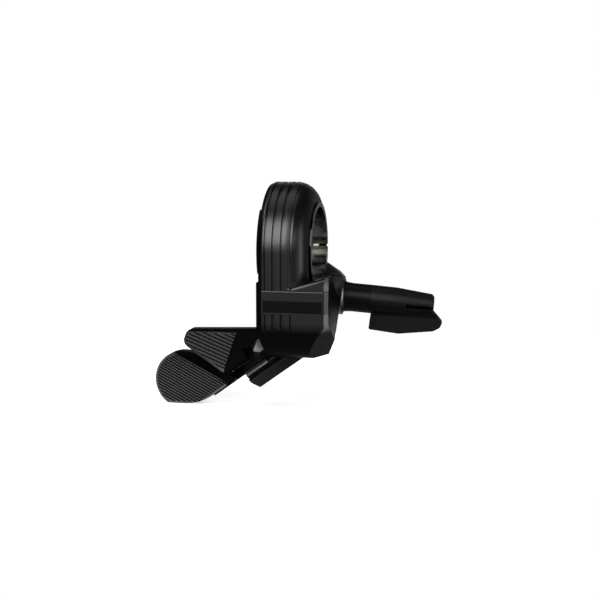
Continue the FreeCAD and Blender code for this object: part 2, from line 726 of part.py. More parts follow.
def cover_screws():
    screws = []
    for y, z in cover_screw_places():
        start = Vec(COVER_LEFT, y, z)
        seat = start + Vec(COVER_SCREW_HEAD_HEIGHT, 0, 0)
        shank = rod(COVER_SCREW_DIAMETER / 2, start, start + Vec(COVER_SCREW_LENGTH, 0, 0))
        screw = rod(COVER_SCREW_HEAD / 2, start, seat).fuse(shank)
        slot = block(COVER_LEFT, COVER_LEFT + COVER_SCREW_SLOT, y - COVER_SCREW_SLOT, y + COVER_SCREW_SLOT,
                     z - COVER_SCREW_HEAD, z + COVER_SCREW_HEAD)
        screws.append(screw.cut(slot))
    return Part.makeCompound(screws)


def circuit_board():
    low_y, high_y, low_z, high_z = MOUTH
    main = block(RING_LEFT + GASKET_DEPTH, CAVITY_RIGHT - HOLE_CLEARANCE, -BOARD_FRONT, -BOARD_BACK,
                 low_z + HOLE_CLEARANCE, high_z - HOLE_CLEARANCE)
    tongue = block(WELL_LEFT + HOLE_CLEARANCE, WELL_RIGHT - HOLE_CLEARANCE, -BOARD_FRONT, -BOARD_BACK,
                   WELL_BOTTOM + HOLE_CLEARANCE, low_z + OVERSHOOT)
    return main.fuse(tongue).removeSplitter()


def switch_body(up):
    """Tact switch on the board, hollow for its plunger."""
    half = SWITCH_SIZE / 2
    back = CAVITY_BACK + SEAT_CLEARANCE
    corner = Vec(PRESS_ALONG - half, back, up - half)
    shell = Part.makeBox(SWITCH_SIZE, BOARD_BACK - back, SWITCH_SIZE, corner)
    start = Vec(PRESS_ALONG, back, up)
    lid = start + Vec(0, SWITCH_LID, 0)
    floor = Vec(PRESS_ALONG, BOARD_BACK - SWITCH_LID, up)
    shell = shell.cut(rod(PLUNGER_DIAMETER / 2 + RUNNING_CLEARANCE, start, lid))
    shell = shell.cut(rod(PLUNGER_FLANGE / 2 + RUNNING_CLEARANCE, lid, floor))
    return placed(shell, LEVER_FRAME)


def plunger(up):
    """Push rod of one switch, flanged inside so that it stays in."""
    tip = Vec(PRESS_ALONG, TAIL_FACE + CONTACT_GAP, up)
    flange = Vec(PRESS_ALONG, CAVITY_BACK + SEAT_CLEARANCE + SWITCH_LID + SEAT_CLEARANCE, up)
    shaft = rod(PLUNGER_DIAMETER / 2, tip, flange)
    foot = rod(PLUNGER_FLANGE / 2, flange, flange + Vec(0, PLUNGER_FLANGE_THICKNESS, 0))
    return placed(fused([shaft, foot]), LEVER_FRAME)


def bored_hub(shape, bottom, top):
    """Hub round the pin, joined to an arm and bored for its bush."""
    low = Vec(PIVOT_ALONG, PIVOT_TOWARD, bottom)
    high = Vec(PIVOT_ALONG, PIVOT_TOWARD, top)
    bore = PIN_DIAMETER / 2 + RUNNING_CLEARANCE + BUSH_WALL + SEAT_CLEARANCE
    return fused([shape, rod(HUB_RADIUS, low, high)]).cut(rod(bore, low, high))


def tail(bottom, top):
    """Inner end of a lever, which pushes its switch."""
    corners = [
        (TAIL_END, TAIL_FACE - TAIL_WIDTH),
        (PIVOT_ALONG, TAIL_FACE - TAIL_WIDTH),
        (PIVOT_ALONG, TAIL_FACE - CONTACT_GAP),
        (PRESS_ALONG + PLUNGER_DIAMETER, TAIL_FACE),
        (TAIL_END, TAIL_FACE),
    ]
    return flat_plate(corners, [TAIL_CORNERS[0], 0, 0, 0, TAIL_CORNERS[1]], bottom, top)


def pad_tab(left, right, back, bottom, top):
    """Upright tab behind a thumb pad."""
    corners = [(left, bottom), (right, bottom), (right, top), (left, top)]
    return front_plate(corners, [0, 0, TAB_CORNER, TAB_CORNER], back - TAB_THICKNESS, back)


def edge_rib(edge, radii, bottom, top):
    """Low rib on an arm, along its back edge."""
    inner = [(along, toward + ARM_RIB) for along, toward in reversed(edge)]
    return flat_plate(edge + inner, radii, bottom, top)


def screw_hole(along, up, start, end, radius):
    return rod(radius, Vec(along, start, up), Vec(along, end, up))


def upper_arm():
    """Near lever, with a rib along its back edge and a tab behind its pad."""
    back = UPPER_PAD_BACK
    edge = back - ARM_WIDTH
    hub_edge = PIVOT_TOWARD - HUB_RADIUS + WINDOW_CLEARANCE
    corners = [
        (PIVOT_ALONG, hub_edge),
        (UPPER_ARM_END, edge),
        (UPPER_ARM_END, back),
        (PIVOT_ALONG, back),
    ]
    arm = flat_plate(corners, [0, ARM_CORNER, 0, 0], UPPER_ARM_BOTTOM, UPPER_ARM_TOP)
    rib_start = PIVOT_ALONG + EYE_RADIUS
    rib_end = UPPER_ARM_END - ARM_CORNER
    slope = (edge - hub_edge) / (UPPER_ARM_END - PIVOT_ALONG)
    rib_edge = [(along, hub_edge + slope * (along - PIVOT_ALONG)) for along in (rib_start, rib_end)]
    arm = fused([
        arm,
        edge_rib(rib_edge, [0, 0, 0, 0], UPPER_ARM_BOTTOM, UPPER_ARM_TOP + ARM_RIB_HEIGHT),
        tail(UPPER_ARM_BOTTOM, UPPER_ARM_TOP),
        pad_tab(UPPER_TAB_START, UPPER_ARM_END, back, UPPER_ARM_TOP - OVERSHOOT, UPPER_TAB_TOP),
    ])
    arm = bored_hub(arm, UPPER_ARM_BOTTOM, UPPER_ARM_TOP)
    low = Vec(PIVOT_ALONG, PIVOT_TOWARD, UPPER_ARM_TOP - SPRING_ROOM)
    high = Vec(PIVOT_ALONG, PIVOT_TOWARD, UPPER_ARM_TOP)
    arm = arm.cut(rod(SPRING_REACH, low, high))
    radius = PAD_SCREW_DIAMETER / 2 + HOLE_CLEARANCE
    arm = arm.cut(screw_hole(UPPER_SCREW_ALONG, UPPER_SCREW_UP, back - FAR, back, radius))
    return placed(arm, LEVER_FRAME)


def lower_arm():
    """Far lever, cranked back to its pad and stiffened by a rib along its back edge."""
    back = LOWER_PAD_BACK
    edge = back - ARM_WIDTH
    bend = LOWER_TAB_START - LOWER_ARM_BEND
    hub_edge = PIVOT_TOWARD - HUB_RADIUS + WINDOW_CLEARANCE
    corners = [
        (PIVOT_ALONG, hub_edge),
        (bend, edge),
        (LOWER_ARM_END, edge),
        (LOWER_ARM_END, back),
        (bend, back),
        (PIVOT_ALONG + HUB_RADIUS, PIVOT_TOWARD),
        (PIVOT_ALONG, PIVOT_TOWARD),
    ]
    arm = flat_plate(corners, [0, LOWER_ARM_BEND, ARM_CORNER, 0, ARM_CORNER, 0, 0],
                     LOWER_ARM_BOTTOM, LOWER_ARM_TOP)
    slope = (edge - hub_edge) / (bend - PIVOT_ALONG)
    rib_edge = [
        (PIVOT_ALONG + HUB_RADIUS, hub_edge + slope * HUB_RADIUS),
        (bend, edge),
        (LOWER_TAB_START, edge),
    ]
    arm = fused([
        arm,
        edge_rib(rib_edge, [0, LOWER_ARM_BEND, 0, 0, 0, 0],
                 LOWER_ARM_BOTTOM, LOWER_ARM_TOP + ARM_RIB_HEIGHT),
        tail(LOWER_ARM_BOTTOM, LOWER_ARM_TOP),
        pad_tab(LOWER_TAB_START, LOWER_ARM_END, back, LOWER_ARM_TOP - OVERSHOOT, LOWER_TAB_TOP),
    ])
    arm = bored_hub(arm, LOWER_ARM_BOTTOM, LOWER_ARM_TOP)
    radius = PAD_SCREW_DIAMETER / 2 + HOLE_CLEARANCE
    arm = arm.cut(screw_hole(LOWER_SCREW_ALONG, LOWER_SCREW_UP, back - FAR, back, radius))
    return placed(arm, LEVER_FRAME)


def ridge_grooves(pitch, slope, face, centre, count):
    """Row of V grooves across a pad's face, sloping down towards the case."""
    angle = math.radians(slope)
    line = Vec(math.cos(angle), 0, -math.sin(angle))
    step = Vec(math.sin(angle), 0, math.cos(angle))
    depth = Vec(0, RIDGE_HEIGHT, 0)
    middle = Vec(centre.x, -face, centre.z)
    grooves = []
    for i in range(-count, count + 1):
        start = middle + step * (pitch * i) - line * FAR / 2
        mouth = step * (pitch * RIDGE_OPEN / 2)
        clear = Vec(0, -OVERSHOOT, 0)
        grooves.append(prism([start + mouth + clear, start + mouth, start + depth, start - mouth,
                              start - mouth + clear], line * FAR))
    return Part.makeCompound(grooves)


def upper_paddle():
    """Ribbed thumb pad of the near lever, standing up from its arm."""
    back = UPPER_PAD_BACK
    front = back + PAD_THICKNESS
    face = front - RIDGE_HEIGHT
    skirt_low = UPPER_ARM_TOP + SEAT_CLEARANCE
    corners = [
        UPPER_PAD_TIP,
        UPPER_PAD_OUTER,
        (UPPER_ARM_END, UPPER_PAD_FOOT),
        (UPPER_PAD_STEP, UPPER_PAD_FOOT),
        (UPPER_PAD_STEP, skirt_low),
        (UPPER_PAD_ROOT, skirt_low),
        (UPPER_PAD_ROOT, UPPER_PAD_ROOT_TOP),
    ]
    body = front_plate(corners, UPPER_PAD_RADII, back, face)
    room_start = UPPER_PAD_ROOT - OVERSHOOT
    eye_room = Part.makeBox(UPPER_PAD_STEP - room_start, face - SKIRT_DEPTH - back,
                            POCKET_TOP + PAD_ROOT_GAP - skirt_low, Vec(room_start, back, skirt_low))
    body = body.cut(eye_room)
    ribbed = [
        (UPPER_PAD_TIP[0] - UPPER_RIB_SHIFT, UPPER_PAD_TIP[1] - RIDGE_MARGIN),
        (UPPER_PAD_OUTER[0] - RIDGE_MARGIN, UPPER_PAD_OUTER[1]),
        (UPPER_ARM_END - RIDGE_MARGIN, UPPER_PAD_FOOT + RIDGE_MARGIN),
        UPPER_RIB_EDGE,
    ]
    ridges = front_plate(ribbed, UPPER_RIB_RADII, face - RIDGE_ROOT, front)
    body = placed(body, LEVER_FRAME)
    ridges = placed(ridges, LEVER_FRAME)
    centre = ridges.BoundBox.Center
    ridges = ridges.cut(ridge_grooves(UPPER_RIDGE_PITCH, UPPER_RIDGE_SLOPE, front, centre, UPPER_RIDGES))
    hole = screw_hole(UPPER_SCREW_ALONG, UPPER_SCREW_UP, back, back + PAD_SCREW_BITE + HOLE_CLEARANCE,
                      PAD_SCREW_DIAMETER / 2 + SEAT_CLEARANCE)
    return fused([body, ridges]).cut(placed(hole, LEVER_FRAME))


def pad_corner(low):
    """What lies outside the large round between the far pad's lower edge and its floor."""
    edge = lever_point(0, 0, low)
    reach = (LOWER_PAD_FLOOR - edge.z) / ALONG.z
    tangent = LOWER_PAD_CORNER * math.tan(math.radians(LEVER_TILT / 2))
    corner = edge + ALONG * reach
    on_floor = corner + Vec(-tangent, -FAR, 0)
    on_edge = corner - ALONG * tangent + Vec(0, -FAR, 0)
    outside = Vec(0, 0, -OVERSHOOT)
    depth = Vec(0, 2 * FAR, 0)
    wedge = prism([
        on_floor,
        on_floor + outside,
        corner + Vec(0, -FAR, 0) + outside,
        on_edge + outside,
        on_edge,
    ], depth)
    centre = on_floor + Vec(0, 0, LOWER_PAD_CORNER)
    return wedge.cut(rod(LOWER_PAD_CORNER, centre, centre + depth))


def lower_paddle():
    """Round ribbed thumb pad of the far lever, flat at its lowest edge."""
    back = LOWER_PAD_BACK
    front = back + PAD_THICKNESS
    up = LOWER_ARM_BOTTOM + LOWER_PAD_LIFT + LOWER_PAD_RADIUS
    centre = Vec(LOWER_PAD_ALONG, back, up)
    depth = PAD_THICKNESS - RIDGE_HEIGHT
    disc = Part.makeCylinder(LOWER_PAD_RADIUS, depth, centre, Vec(0, 1, 0))
    low = up - LOWER_PAD_RADIUS
    corners = [
        (LOWER_TAB_START - LOWER_PAD_HEEL, low),
        (LOWER_PAD_ALONG, low),
        (LOWER_PAD_ALONG, up + LOWER_PAD_RADIUS),
        (LOWER_TAB_START + LOWER_PAD_SHOULDER[0], up + LOWER_PAD_SHOULDER[1]),
    ]
    body = fused([disc, front_plate(corners, LOWER_PAD_RADII, back, back + depth)])
    ribbed = Part.makeCylinder(LOWER_PAD_RADIUS - RIDGE_MARGIN, RIDGE_HEIGHT + RIDGE_ROOT,
                               Vec(LOWER_PAD_ALONG, front - RIDGE_HEIGHT - RIDGE_ROOT, up), Vec(0, 1, 0))
    corners = [
        (LOWER_RIB_START, low + RIDGE_MARGIN),
        (LOWER_PAD_ALONG, low + RIDGE_MARGIN),
        (LOWER_PAD_ALONG, up + LOWER_PAD_RADIUS - RIDGE_MARGIN),
        (LOWER_RIB_START, up),
    ]
    wing = front_plate(corners, [0, 0, 0, 0], front - RIDGE_HEIGHT - RIDGE_ROOT, front)
    ridges = placed(fused([ribbed, wing]), LEVER_FRAME)
    middle = LEVER_FRAME.multVec(centre)
    ridges = ridges.cut(ridge_grooves(LOWER_RIDGE_PITCH, LOWER_RIDGE_SLOPE, front, middle, LOWER_RIDGES))
    floor = beyond(Vec(0, 0, LOWER_PAD_FLOOR), Vec(0, 0, -1))
    rib_floor = beyond(Vec(0, 0, LOWER_PAD_FLOOR + RIDGE_MARGIN), Vec(0, 0, -1))
    pad = fused([placed(body, LEVER_FRAME).cut(floor), ridges.cut(rib_floor)]).cut(pad_corner(low))
    hole = screw_hole(LOWER_SCREW_ALONG, LOWER_SCREW_UP, back, back + PAD_SCREW_BITE + HOLE_CLEARANCE,
                      PAD_SCREW_DIAMETER / 2 + SEAT_CLEARANCE)
    return pad.cut(placed(hole, LEVER_FRAME))


def pad_screw(along, up, pad_back):
    """Screw from behind a tab into its pad."""
    seat = pad_back - TAB_THICKNESS
    head = screw_hole(along, up, seat - PAD_SCREW_HEAD_HEIGHT, seat, PAD_SCREW_HEAD / 2)
    shank = screw_hole(along, up, seat, pad_back + PAD_SCREW_BITE, PAD_SCREW_DIAMETER / 2)
    low = Vec(along, seat - PAD_SCREW_HEAD_HEIGHT, up)
    socket = hexagon(PAD_SCREW_SOCKET, low, low + Vec(0, PAD_SCREW_HEAD_HEIGHT / 2, 0))
    return placed(head.fuse(shank).cut(socket), LEVER_FRAME)


def bush(bottom, top):
    inner = PIN_DIAMETER / 2 + RUNNING_CLEARANCE
    low = Vec(PIVOT_ALONG, PIVOT_TOWARD, bottom)
    high = Vec(PIVOT_ALONG, PIVOT_TOWARD, top)
    return placed(tube(inner + BUSH_WALL, inner, low, high), LEVER_FRAME)


def lever_washer():
    low = Vec(PIVOT_ALONG, PIVOT_TOWARD, LOWER_ARM_TOP + SEAT_CLEARANCE)
    high = Vec(PIVOT_ALONG, PIVOT_TOWARD, UPPER_ARM_BOTTOM - SEAT_CLEARANCE)
    inner = PIN_DIAMETER / 2 + HOLE_CLEARANCE
    return placed(tube(HUB_RADIUS - WINDOW_CLEARANCE, inner, low, high), LEVER_FRAME)


def return_spring(bottom):
    """Flat spiral round the pin that brings a lever back, made of half turns."""
    low = bottom + HOLE_CLEARANCE
    height = SPRING_ROOM - 2 * HOLE_CLEARANCE
    turns = []
    for i in range(SPRING_HALF_TURNS):
        side = i % 2
        centre = Vec(PIVOT_ALONG + side * SPRING_PITCH / 2, PIVOT_TOWARD, low)
        radius = SPRING_INNER + i * SPRING_PITCH / 2
        ring = tube(radius + SPRING_STRIP / 2, radius - SPRING_STRIP / 2,
                    centre, centre + Vec(0, 0, height))
        half = Part.makeBox(FAR, FAR, height, centre + Vec(-FAR / 2, -FAR * side, 0))
        turns.append(ring.common(half))
    return placed(fused(turns), LEVER_FRAME)


def pivot_bracket():
    """Clevis under the case: a tray and an eye for the pin, and a flange screwed to the case."""
    flange_end = POCKET_END + BRACKET_FLANGE
    hub_end = PIVOT_ALONG + HUB_RADIUS
    tip = BRACKET_END + BRACKET_END_SPLAY
    floor_corners = [
        (flange_end, BRACKET_BACK),
        (BRACKET_END, BRACKET_BACK),
        (tip, BRACKET_FRONT),
        (flange_end, BRACKET_FRONT),
    ]
    eye_front = PIVOT_TOWARD + EYE_RADIUS
    strap_corners = [
        (POCKET_END, BRACKET_BACK),
        (PIVOT_ALONG, BRACKET_BACK),
        (PIVOT_ALONG, eye_front),
        (POCKET_END, eye_front),
    ]
    rib_start = flange_end + BRACKET_SCREW_HEAD_HEIGHT + HOLE_CLEARANCE
    rib_back = BRACKET_BACK + BRACKET_RIB_INSET
    rib_front = BRACKET_BACK + BRACKET_RIB
    lip_front = BRACKET_FRONT - BRACKET_RIB_INSET
    lip_back = lip_front - BRACKET_LIP
    rib_corners = [
        (rib_start, rib_back),
        (BRACKET_END - BRACKET_RIB_INSET, rib_back),
        (tip - BRACKET_RIB_INSET, lip_front),
        (BRACKET_LIP_START, lip_front),
        (BRACKET_LIP_START, lip_back),
        (hub_end, lip_back),
        (hub_end, rib_front),
        (rib_start, rib_front),
    ]
    raised_corners = [
        (PIVOT_ALONG, PIVOT_TOWARD + BRACKET_LIP),
        (BRACKET_END - BRACKET_RIB_INSET, PIVOT_TOWARD + BRACKET_LIP),
        (tip - BRACKET_RIB_INSET, lip_front),
        (PIVOT_ALONG, lip_front),
    ]
    rib_top = LOWER_ARM_BOTTOM - RIB_CLEARANCE
    raised_top = LOWER_ARM_BOTTOM + BRACKET_LIP_RAISE
    flange = Part.makeBox(BRACKET_FLANGE, BRACKET_FLANGE_FRONT - BRACKET_BACK, POCKET_TOP - BRACKET_UNDER,
                          Vec(POCKET_END, BRACKET_BACK, BRACKET_UNDER))
    pivot = Vec(PIVOT_ALONG, PIVOT_TOWARD, 0)
    hub_room = rod(HUB_RADIUS + RIB_CLEARANCE + HOLE_CLEARANCE, pivot + Vec(0, 0, BRACKET_FLOOR),
                   pivot + Vec(0, 0, raised_top))
    raised = flat_plate(raised_corners, [0, 0, 0, 0], BRACKET_FLOOR, raised_top)
    bead_corners = [
        (PIVOT_ALONG, lip_back),
        (tip - BRACKET_RIB_INSET, lip_back),
        (tip - BRACKET_RIB_INSET, BRACKET_FRONT),
        (PIVOT_ALONG, BRACKET_FRONT),
    ]
    bead = flat_plate(bead_corners, [0, 0, 0, 0], raised_top - BRACKET_BEAD, raised_top)
    bead = bead.cut(beyond(Vec(0, lip_back + HOLE_CLEARANCE, raised_top), Vec(0, 1, 1)))
    body = fused([
        flat_plate(floor_corners, [0, BRACKET_CORNER, BRACKET_FRONT_CORNER, 0],
                   BRACKET_UNDER, BRACKET_FLOOR),
        flat_plate(strap_corners, [0, BRACKET_FRONT_CORNER, 0, 0], BRACKET_TOP_UNDER, POCKET_TOP),
        rod(EYE_RADIUS, pivot + Vec(0, 0, BRACKET_TOP_UNDER), pivot + Vec(0, 0, POCKET_TOP)),
        flange,
        flat_plate(rib_corners, [0, BRACKET_CORNER, 0, 0, 0, 0, 0, 0], BRACKET_FLOOR, rib_top),
        raised.cut(hub_room),
        bead.cut(hub_room),
    ])
    slope_top = Vec(tip, 0, BRACKET_FLOOR)
    body = body.cut(beyond(slope_top, Vec(BRACKET_PLATE, 0, -BRACKET_END_SLOPE)))
    low = pivot + Vec(0, 0, BRACKET_UNDER)
    body = body.cut(rod(PIN_DIAMETER / 2 + SEAT_CLEARANCE, low, pivot + Vec(0, 0, POCKET_TOP)))
    body = body.cut(rod(CLIP_RADIUS + WINDOW_CLEARANCE, low, low + Vec(0, 0, CLIP_RECESS)))
    for toward, up in bracket_screw_places():
        start = Vec(POCKET_END, toward, up)
        hole = BRACKET_SCREW_DIAMETER / 2 + HOLE_CLEARANCE
        body = body.cut(rod(hole, start, Vec(flange_end, toward, up)))
    return placed(body, LEVER_FRAME)


def bracket_screws():
    screws = []
    for toward, up in bracket_screw_places():
        seat = Vec(POCKET_END + BRACKET_FLANGE, toward, up)
        top = seat + Vec(BRACKET_SCREW_HEAD_HEIGHT, 0, 0)
        tip = Vec(POCKET_END - BRACKET_SCREW_DEPTH, toward, up)
        screw = rod(BRACKET_SCREW_HEAD / 2, seat, top).fuse(rod(BRACKET_SCREW_DIAMETER / 2, tip, seat))
        socket = hexagon(PAD_SCREW_SOCKET, top, top - Vec(BRACKET_SCREW_HEAD_HEIGHT / 2, 0, 0))
        screws.append(placed(screw.cut(socket), LEVER_FRAME))
    return Part.makeCompound(screws)


def pivot_pin():
    """Pin through both plates, grooved below for its clip."""
    low = Vec(PIVOT_ALONG, PIVOT_TOWARD, BRACKET_UNDER + PIN_END_GAP)
    high = Vec(PIVOT_ALONG, PIVOT_TOWARD, POCKET_TOP - PIN_TOP_GAP)
    pin = rod(PIN_DIAMETER / 2, low, high)
    groove_top = Vec(PIVOT_ALONG, PIVOT_TOWARD, BRACKET_UNDER + CLIP_RECESS)
    groove_low = groove_top - Vec(0, 0, CLIP_THICKNESS + 2 * SEAT_CLEARANCE)
    return placed(pin.cut(tube(PIN_DIAMETER, CLIP_BORE, groove_low, groove_top)), LEVER_FRAME)


def pivot_clip():
    """Open spring clip in the pin's groove."""
    high = Vec(PIVOT_ALONG, PIVOT_TOWARD, BRACKET_UNDER + CLIP_RECESS - SEAT_CLEARANCE)
    low = high - Vec(0, 0, CLIP_THICKNESS)
    clip = tube(CLIP_RADIUS, CLIP_BORE + SEAT_CLEARANCE, low, high)
    gap = Part.makeBox(CLIP_RADIUS, 2 * CLIP_BORE, 2 * CLIP_THICKNESS, low + Vec(0, -CLIP_BORE, 0))
    return placed(clip.cut(gap), LEVER_FRAME)


def label_panel():
    panel = label_recess(SEAT_CLEARANCE, LABEL_DEPTH)
    return panel.cut(block(-FAR, FAR, FRONT - LABEL_PROUD - OVERSHOOT,
                           FRONT - LABEL_PROUD + LABEL_DEPTH - LABEL_THICKNESS, -FAR, FAR))


def connector_stem():
    """Wire port: spigot in the case, flared root, round stem and a nose for the plug cover."""
    stem = turned([
        (-SOCKET_DEPTH + HOLE_CLEARANCE, STEM_BORE),
        (-SOCKET_DEPTH + HOLE_CLEARANCE, SPIGOT_RADIUS),
        (0, SPIGOT_RADIUS),
        (0, STEM_ROOT_RADIUS),
        (STEM_ROOT_STEP, STEM_ROOT_RADIUS - STEM_ROOT_STEP),
        (STEM_ROOT_LENGTH, STEM_RADIUS),
        (STEM_LENGTH, STEM_RADIUS),
        (STEM_LENGTH, NOSE_RADIUS),
        (STEM_LENGTH + NOSE_LENGTH, NOSE_RADIUS),
        (STEM_LENGTH + NOSE_LENGTH, STEM_BORE),
    ])
    seal = SEAL_DIAMETER / 2
    groove = tube(FAR, SPIGOT_RADIUS + SEAT_CLEARANCE - SEAL_DIAMETER,
                  Vec(SEAL_PLACE - seal, 0, 0), Vec(SEAL_PLACE + seal, 0, 0))
    return placed(stem.cut(groove), PORT_FRAME).cut(lead_strip(LEAD_ROOM))


def port_seal():
    """Rubber ring in the groove of the stem's spigot."""
    half = SEAL_DIAMETER / 2 - RUNNING_CLEARANCE
    inner = SPIGOT_RADIUS + SEAT_CLEARANCE - SEAL_DIAMETER + RUNNING_CLEARANCE
    ring = tube(SPIGOT_RADIUS, inner, Vec(SEAL_PLACE - half, 0, 0), Vec(SEAL_PLACE + half, 0, 0))
    return placed(ring, PORT_FRAME)


def contact_block():
    start = Vec(-SOCKET_DEPTH + HOLE_CLEARANCE, 0, 0)
    return placed(rod(STEM_BORE - SEAT_CLEARANCE, start, Vec(CONTACT_BLOCK_END, 0, 0)), PORT_FRAME)


def contact_pins():
    half = CONTACT_WIDTH / 2
    pins = []
    for side in (-1, 1):
        y = side * CONTACT_PITCH / 2
        pin = block(CONTACT_BLOCK_END, CONTACT_BLOCK_END + CONTACT_LENGTH, y - half, y + half, -half, half)
        pins.append(placed(pin, PORT_FRAME))
    return Part.makeCompound(pins)


def plug_cover():
    """Tapered end piece on the stem's nose, with a pull fin below and a slit to its end."""
    start = STEM_LENGTH + HOLE_CLEARANCE
    end = STEM_LENGTH + PLUG_LENGTH
    shell = turned([
        (start, 0),
        (start, STEM_RADIUS),
        (start + PLUG_TAPER_START, STEM_RADIUS - PLUG_TAPER_STEP),
        (end - PLUG_END_BEVEL, PLUG_END_RADIUS),
        (end, PLUG_END_RADIUS - PLUG_END_BEVEL),
        (end, 0),
    ])
    half = PLUG_FIN_WIDTH / 2
    fin_points = [
        (start, -PLUG_FIN_DROP + PLUG_FIN_START),
        (start + PLUG_FIN_BELLY, -PLUG_FIN_DROP),
        (end + PLUG_FIN_HEEL[0], -PLUG_FIN_DROP + PLUG_FIN_HEEL[1]),
        (end + PLUG_FIN_REACH, -PLUG_FIN_DROP + PLUG_FIN_TOE),
        (end - HOLE_CLEARANCE, -PLUG_END_RADIUS + PLUG_FIN_ROOT),
        (start + PLUG_FIN_START, -PLUG_END_RADIUS + PLUG_FIN_ROOT),
    ]
    corners = [Vec(x, -half, z) for x, z in fin_points]
    fin = outline(corners, PLUG_FIN_RADII).extrude(Vec(0, PLUG_FIN_WIDTH, 0))
    cover = fused([shell, fin])
    cover = cover.cut(rod(NOSE_RADIUS + SEAT_CLEARANCE, Vec(start, 0, 0),
                          Vec(STEM_LENGTH + NOSE_LENGTH + WINDOW_CLEARANCE, 0, 0)))
    cover = cover.cut(rod(WIRE_EXIT_RADIUS, Vec(start, 0, 0), Vec(end + OVERSHOOT, 0, 0)))
    slit = block(end - SLIT_LENGTH, end + OVERSHOOT, -FAR, 0,
                 SLIT_RISE - SLIT_WIDTH / 2, SLIT_RISE + SLIT_WIDTH / 2)
    hole_start = Vec(end - SLIT_LENGTH, -FAR, SLIT_RISE)
    slit_hole = rod(SLIT_HOLE_RADIUS, hole_start, hole_start + Vec(0, FAR, 0))
    return placed(cover.cut(slit).cut(slit_hole), PORT_FRAME)


def nodes():
    return {
        "main_housing": main_housing(),
        "clamp_band": clamp_band(),
        "clamp_bolt": clamp_bolt(),
        "clamp_nut": clamp_nut(),
        "label_panel": label_panel(),
        "left_side_cover": left_side_cover(),
        "cover_gasket": cover_gasket(),
        "cover_screws": cover_screws(),
        "circuit_board": circuit_board(),
        "upper_switch": switch_body(UPPER_PRESS_UP),
        "lower_switch": switch_body(LOWER_PRESS_UP),
        "upper_plunger": plunger(UPPER_PRESS_UP),
        "lower_plunger": plunger(LOWER_PRESS_UP),
        "pivot_bracket": pivot_bracket(),
        "bracket_screws": bracket_screws(),
        "pivot_pin": pivot_pin(),
        "pivot_clip": pivot_clip(),
        "lever_washer": lever_washer(),
        "upper_arm": upper_arm(),
        "upper_bush": bush(UPPER_ARM_BOTTOM, UPPER_ARM_TOP - SPRING_ROOM),
        "upper_return_spring": return_spring(UPPER_ARM_TOP - SPRING_ROOM),
        "upper_paddle": upper_paddle(),
        "upper_pad_screw": pad_screw(UPPER_SCREW_ALONG, UPPER_SCREW_UP, UPPER_PAD_BACK),
        "lower_arm": lower_arm(),
        "lower_bush": bush(LOWER_ARM_BOTTOM, LOWER_ARM_TOP),
        "lower_return_spring": return_spring(BRACKET_FLOOR),
        "lower_paddle": lower_paddle(),
        "lower_pad_screw": pad_screw(LOWER_SCREW_ALONG, LOWER_SCREW_UP, LOWER_PAD_BACK),
        "connector_stem": connector_stem(),
        "port_seal": port_seal(),
        "contact_block": contact_block(),
        "contact_pins": contact_pins(),
        "flat_lead": lead_strip(0),
        "plug_cover": plug_cover(),
    }


os.makedirs("parts", exist_ok=True)
for name, shape in nodes().items():
    print(f"{name}: solids {len(shape.Solids)}, valid {shape.isValid()}, volume {shape.Volume:.2f}")
    shape.exportStep(f"parts/{name}.step")
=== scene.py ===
"""Looks of the handlebar shift switch: rounded mouldings, finishes with painted sheen and painted shade,
studio light and camera.
"""

import json
import math

import bpy
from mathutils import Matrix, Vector


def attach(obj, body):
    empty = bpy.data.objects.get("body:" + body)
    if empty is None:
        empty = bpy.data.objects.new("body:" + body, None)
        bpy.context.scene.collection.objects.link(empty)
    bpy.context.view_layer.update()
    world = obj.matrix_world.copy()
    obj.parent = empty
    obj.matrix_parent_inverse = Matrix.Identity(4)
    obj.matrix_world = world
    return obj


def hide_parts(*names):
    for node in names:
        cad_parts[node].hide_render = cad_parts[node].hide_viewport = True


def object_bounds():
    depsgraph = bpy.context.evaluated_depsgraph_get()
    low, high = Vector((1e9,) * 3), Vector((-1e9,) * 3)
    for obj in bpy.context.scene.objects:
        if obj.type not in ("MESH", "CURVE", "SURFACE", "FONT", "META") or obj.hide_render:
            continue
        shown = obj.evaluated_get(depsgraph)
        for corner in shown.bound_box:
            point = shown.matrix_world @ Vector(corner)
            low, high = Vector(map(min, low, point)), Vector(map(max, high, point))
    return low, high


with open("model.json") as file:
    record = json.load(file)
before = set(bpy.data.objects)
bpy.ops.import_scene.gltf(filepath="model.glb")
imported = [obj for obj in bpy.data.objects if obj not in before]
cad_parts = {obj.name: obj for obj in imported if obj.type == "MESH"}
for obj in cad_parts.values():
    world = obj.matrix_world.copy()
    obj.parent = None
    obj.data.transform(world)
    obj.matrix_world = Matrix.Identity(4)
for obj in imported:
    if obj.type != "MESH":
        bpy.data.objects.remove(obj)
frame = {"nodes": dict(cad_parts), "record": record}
cad_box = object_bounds()

MM = 0.001

# Pin of the levers, from the frame
HINGE = next(joint for joint in frame["record"]["behaviour"]["joints"] if joint["type"] == "hinge")
PIVOT = HINGE["pos_m"]
PIN_AXIS = HINGE["axis"]

# Camera, at the photograph's viewing angle: angles in degrees, lens and sensor in millimetres
CAMERA_AZIMUTH = 11.7
CAMERA_ELEVATION = 7.8
CAMERA_DISTANCE = 280.4 * MM
CAMERA_TARGET = Vector((1.8, -0.8, -13.8)) * MM
CAMERA_LENS = 63.0
CAMERA_SENSOR = 36.0
CAMERA_NEAREST = 10.0 * MM

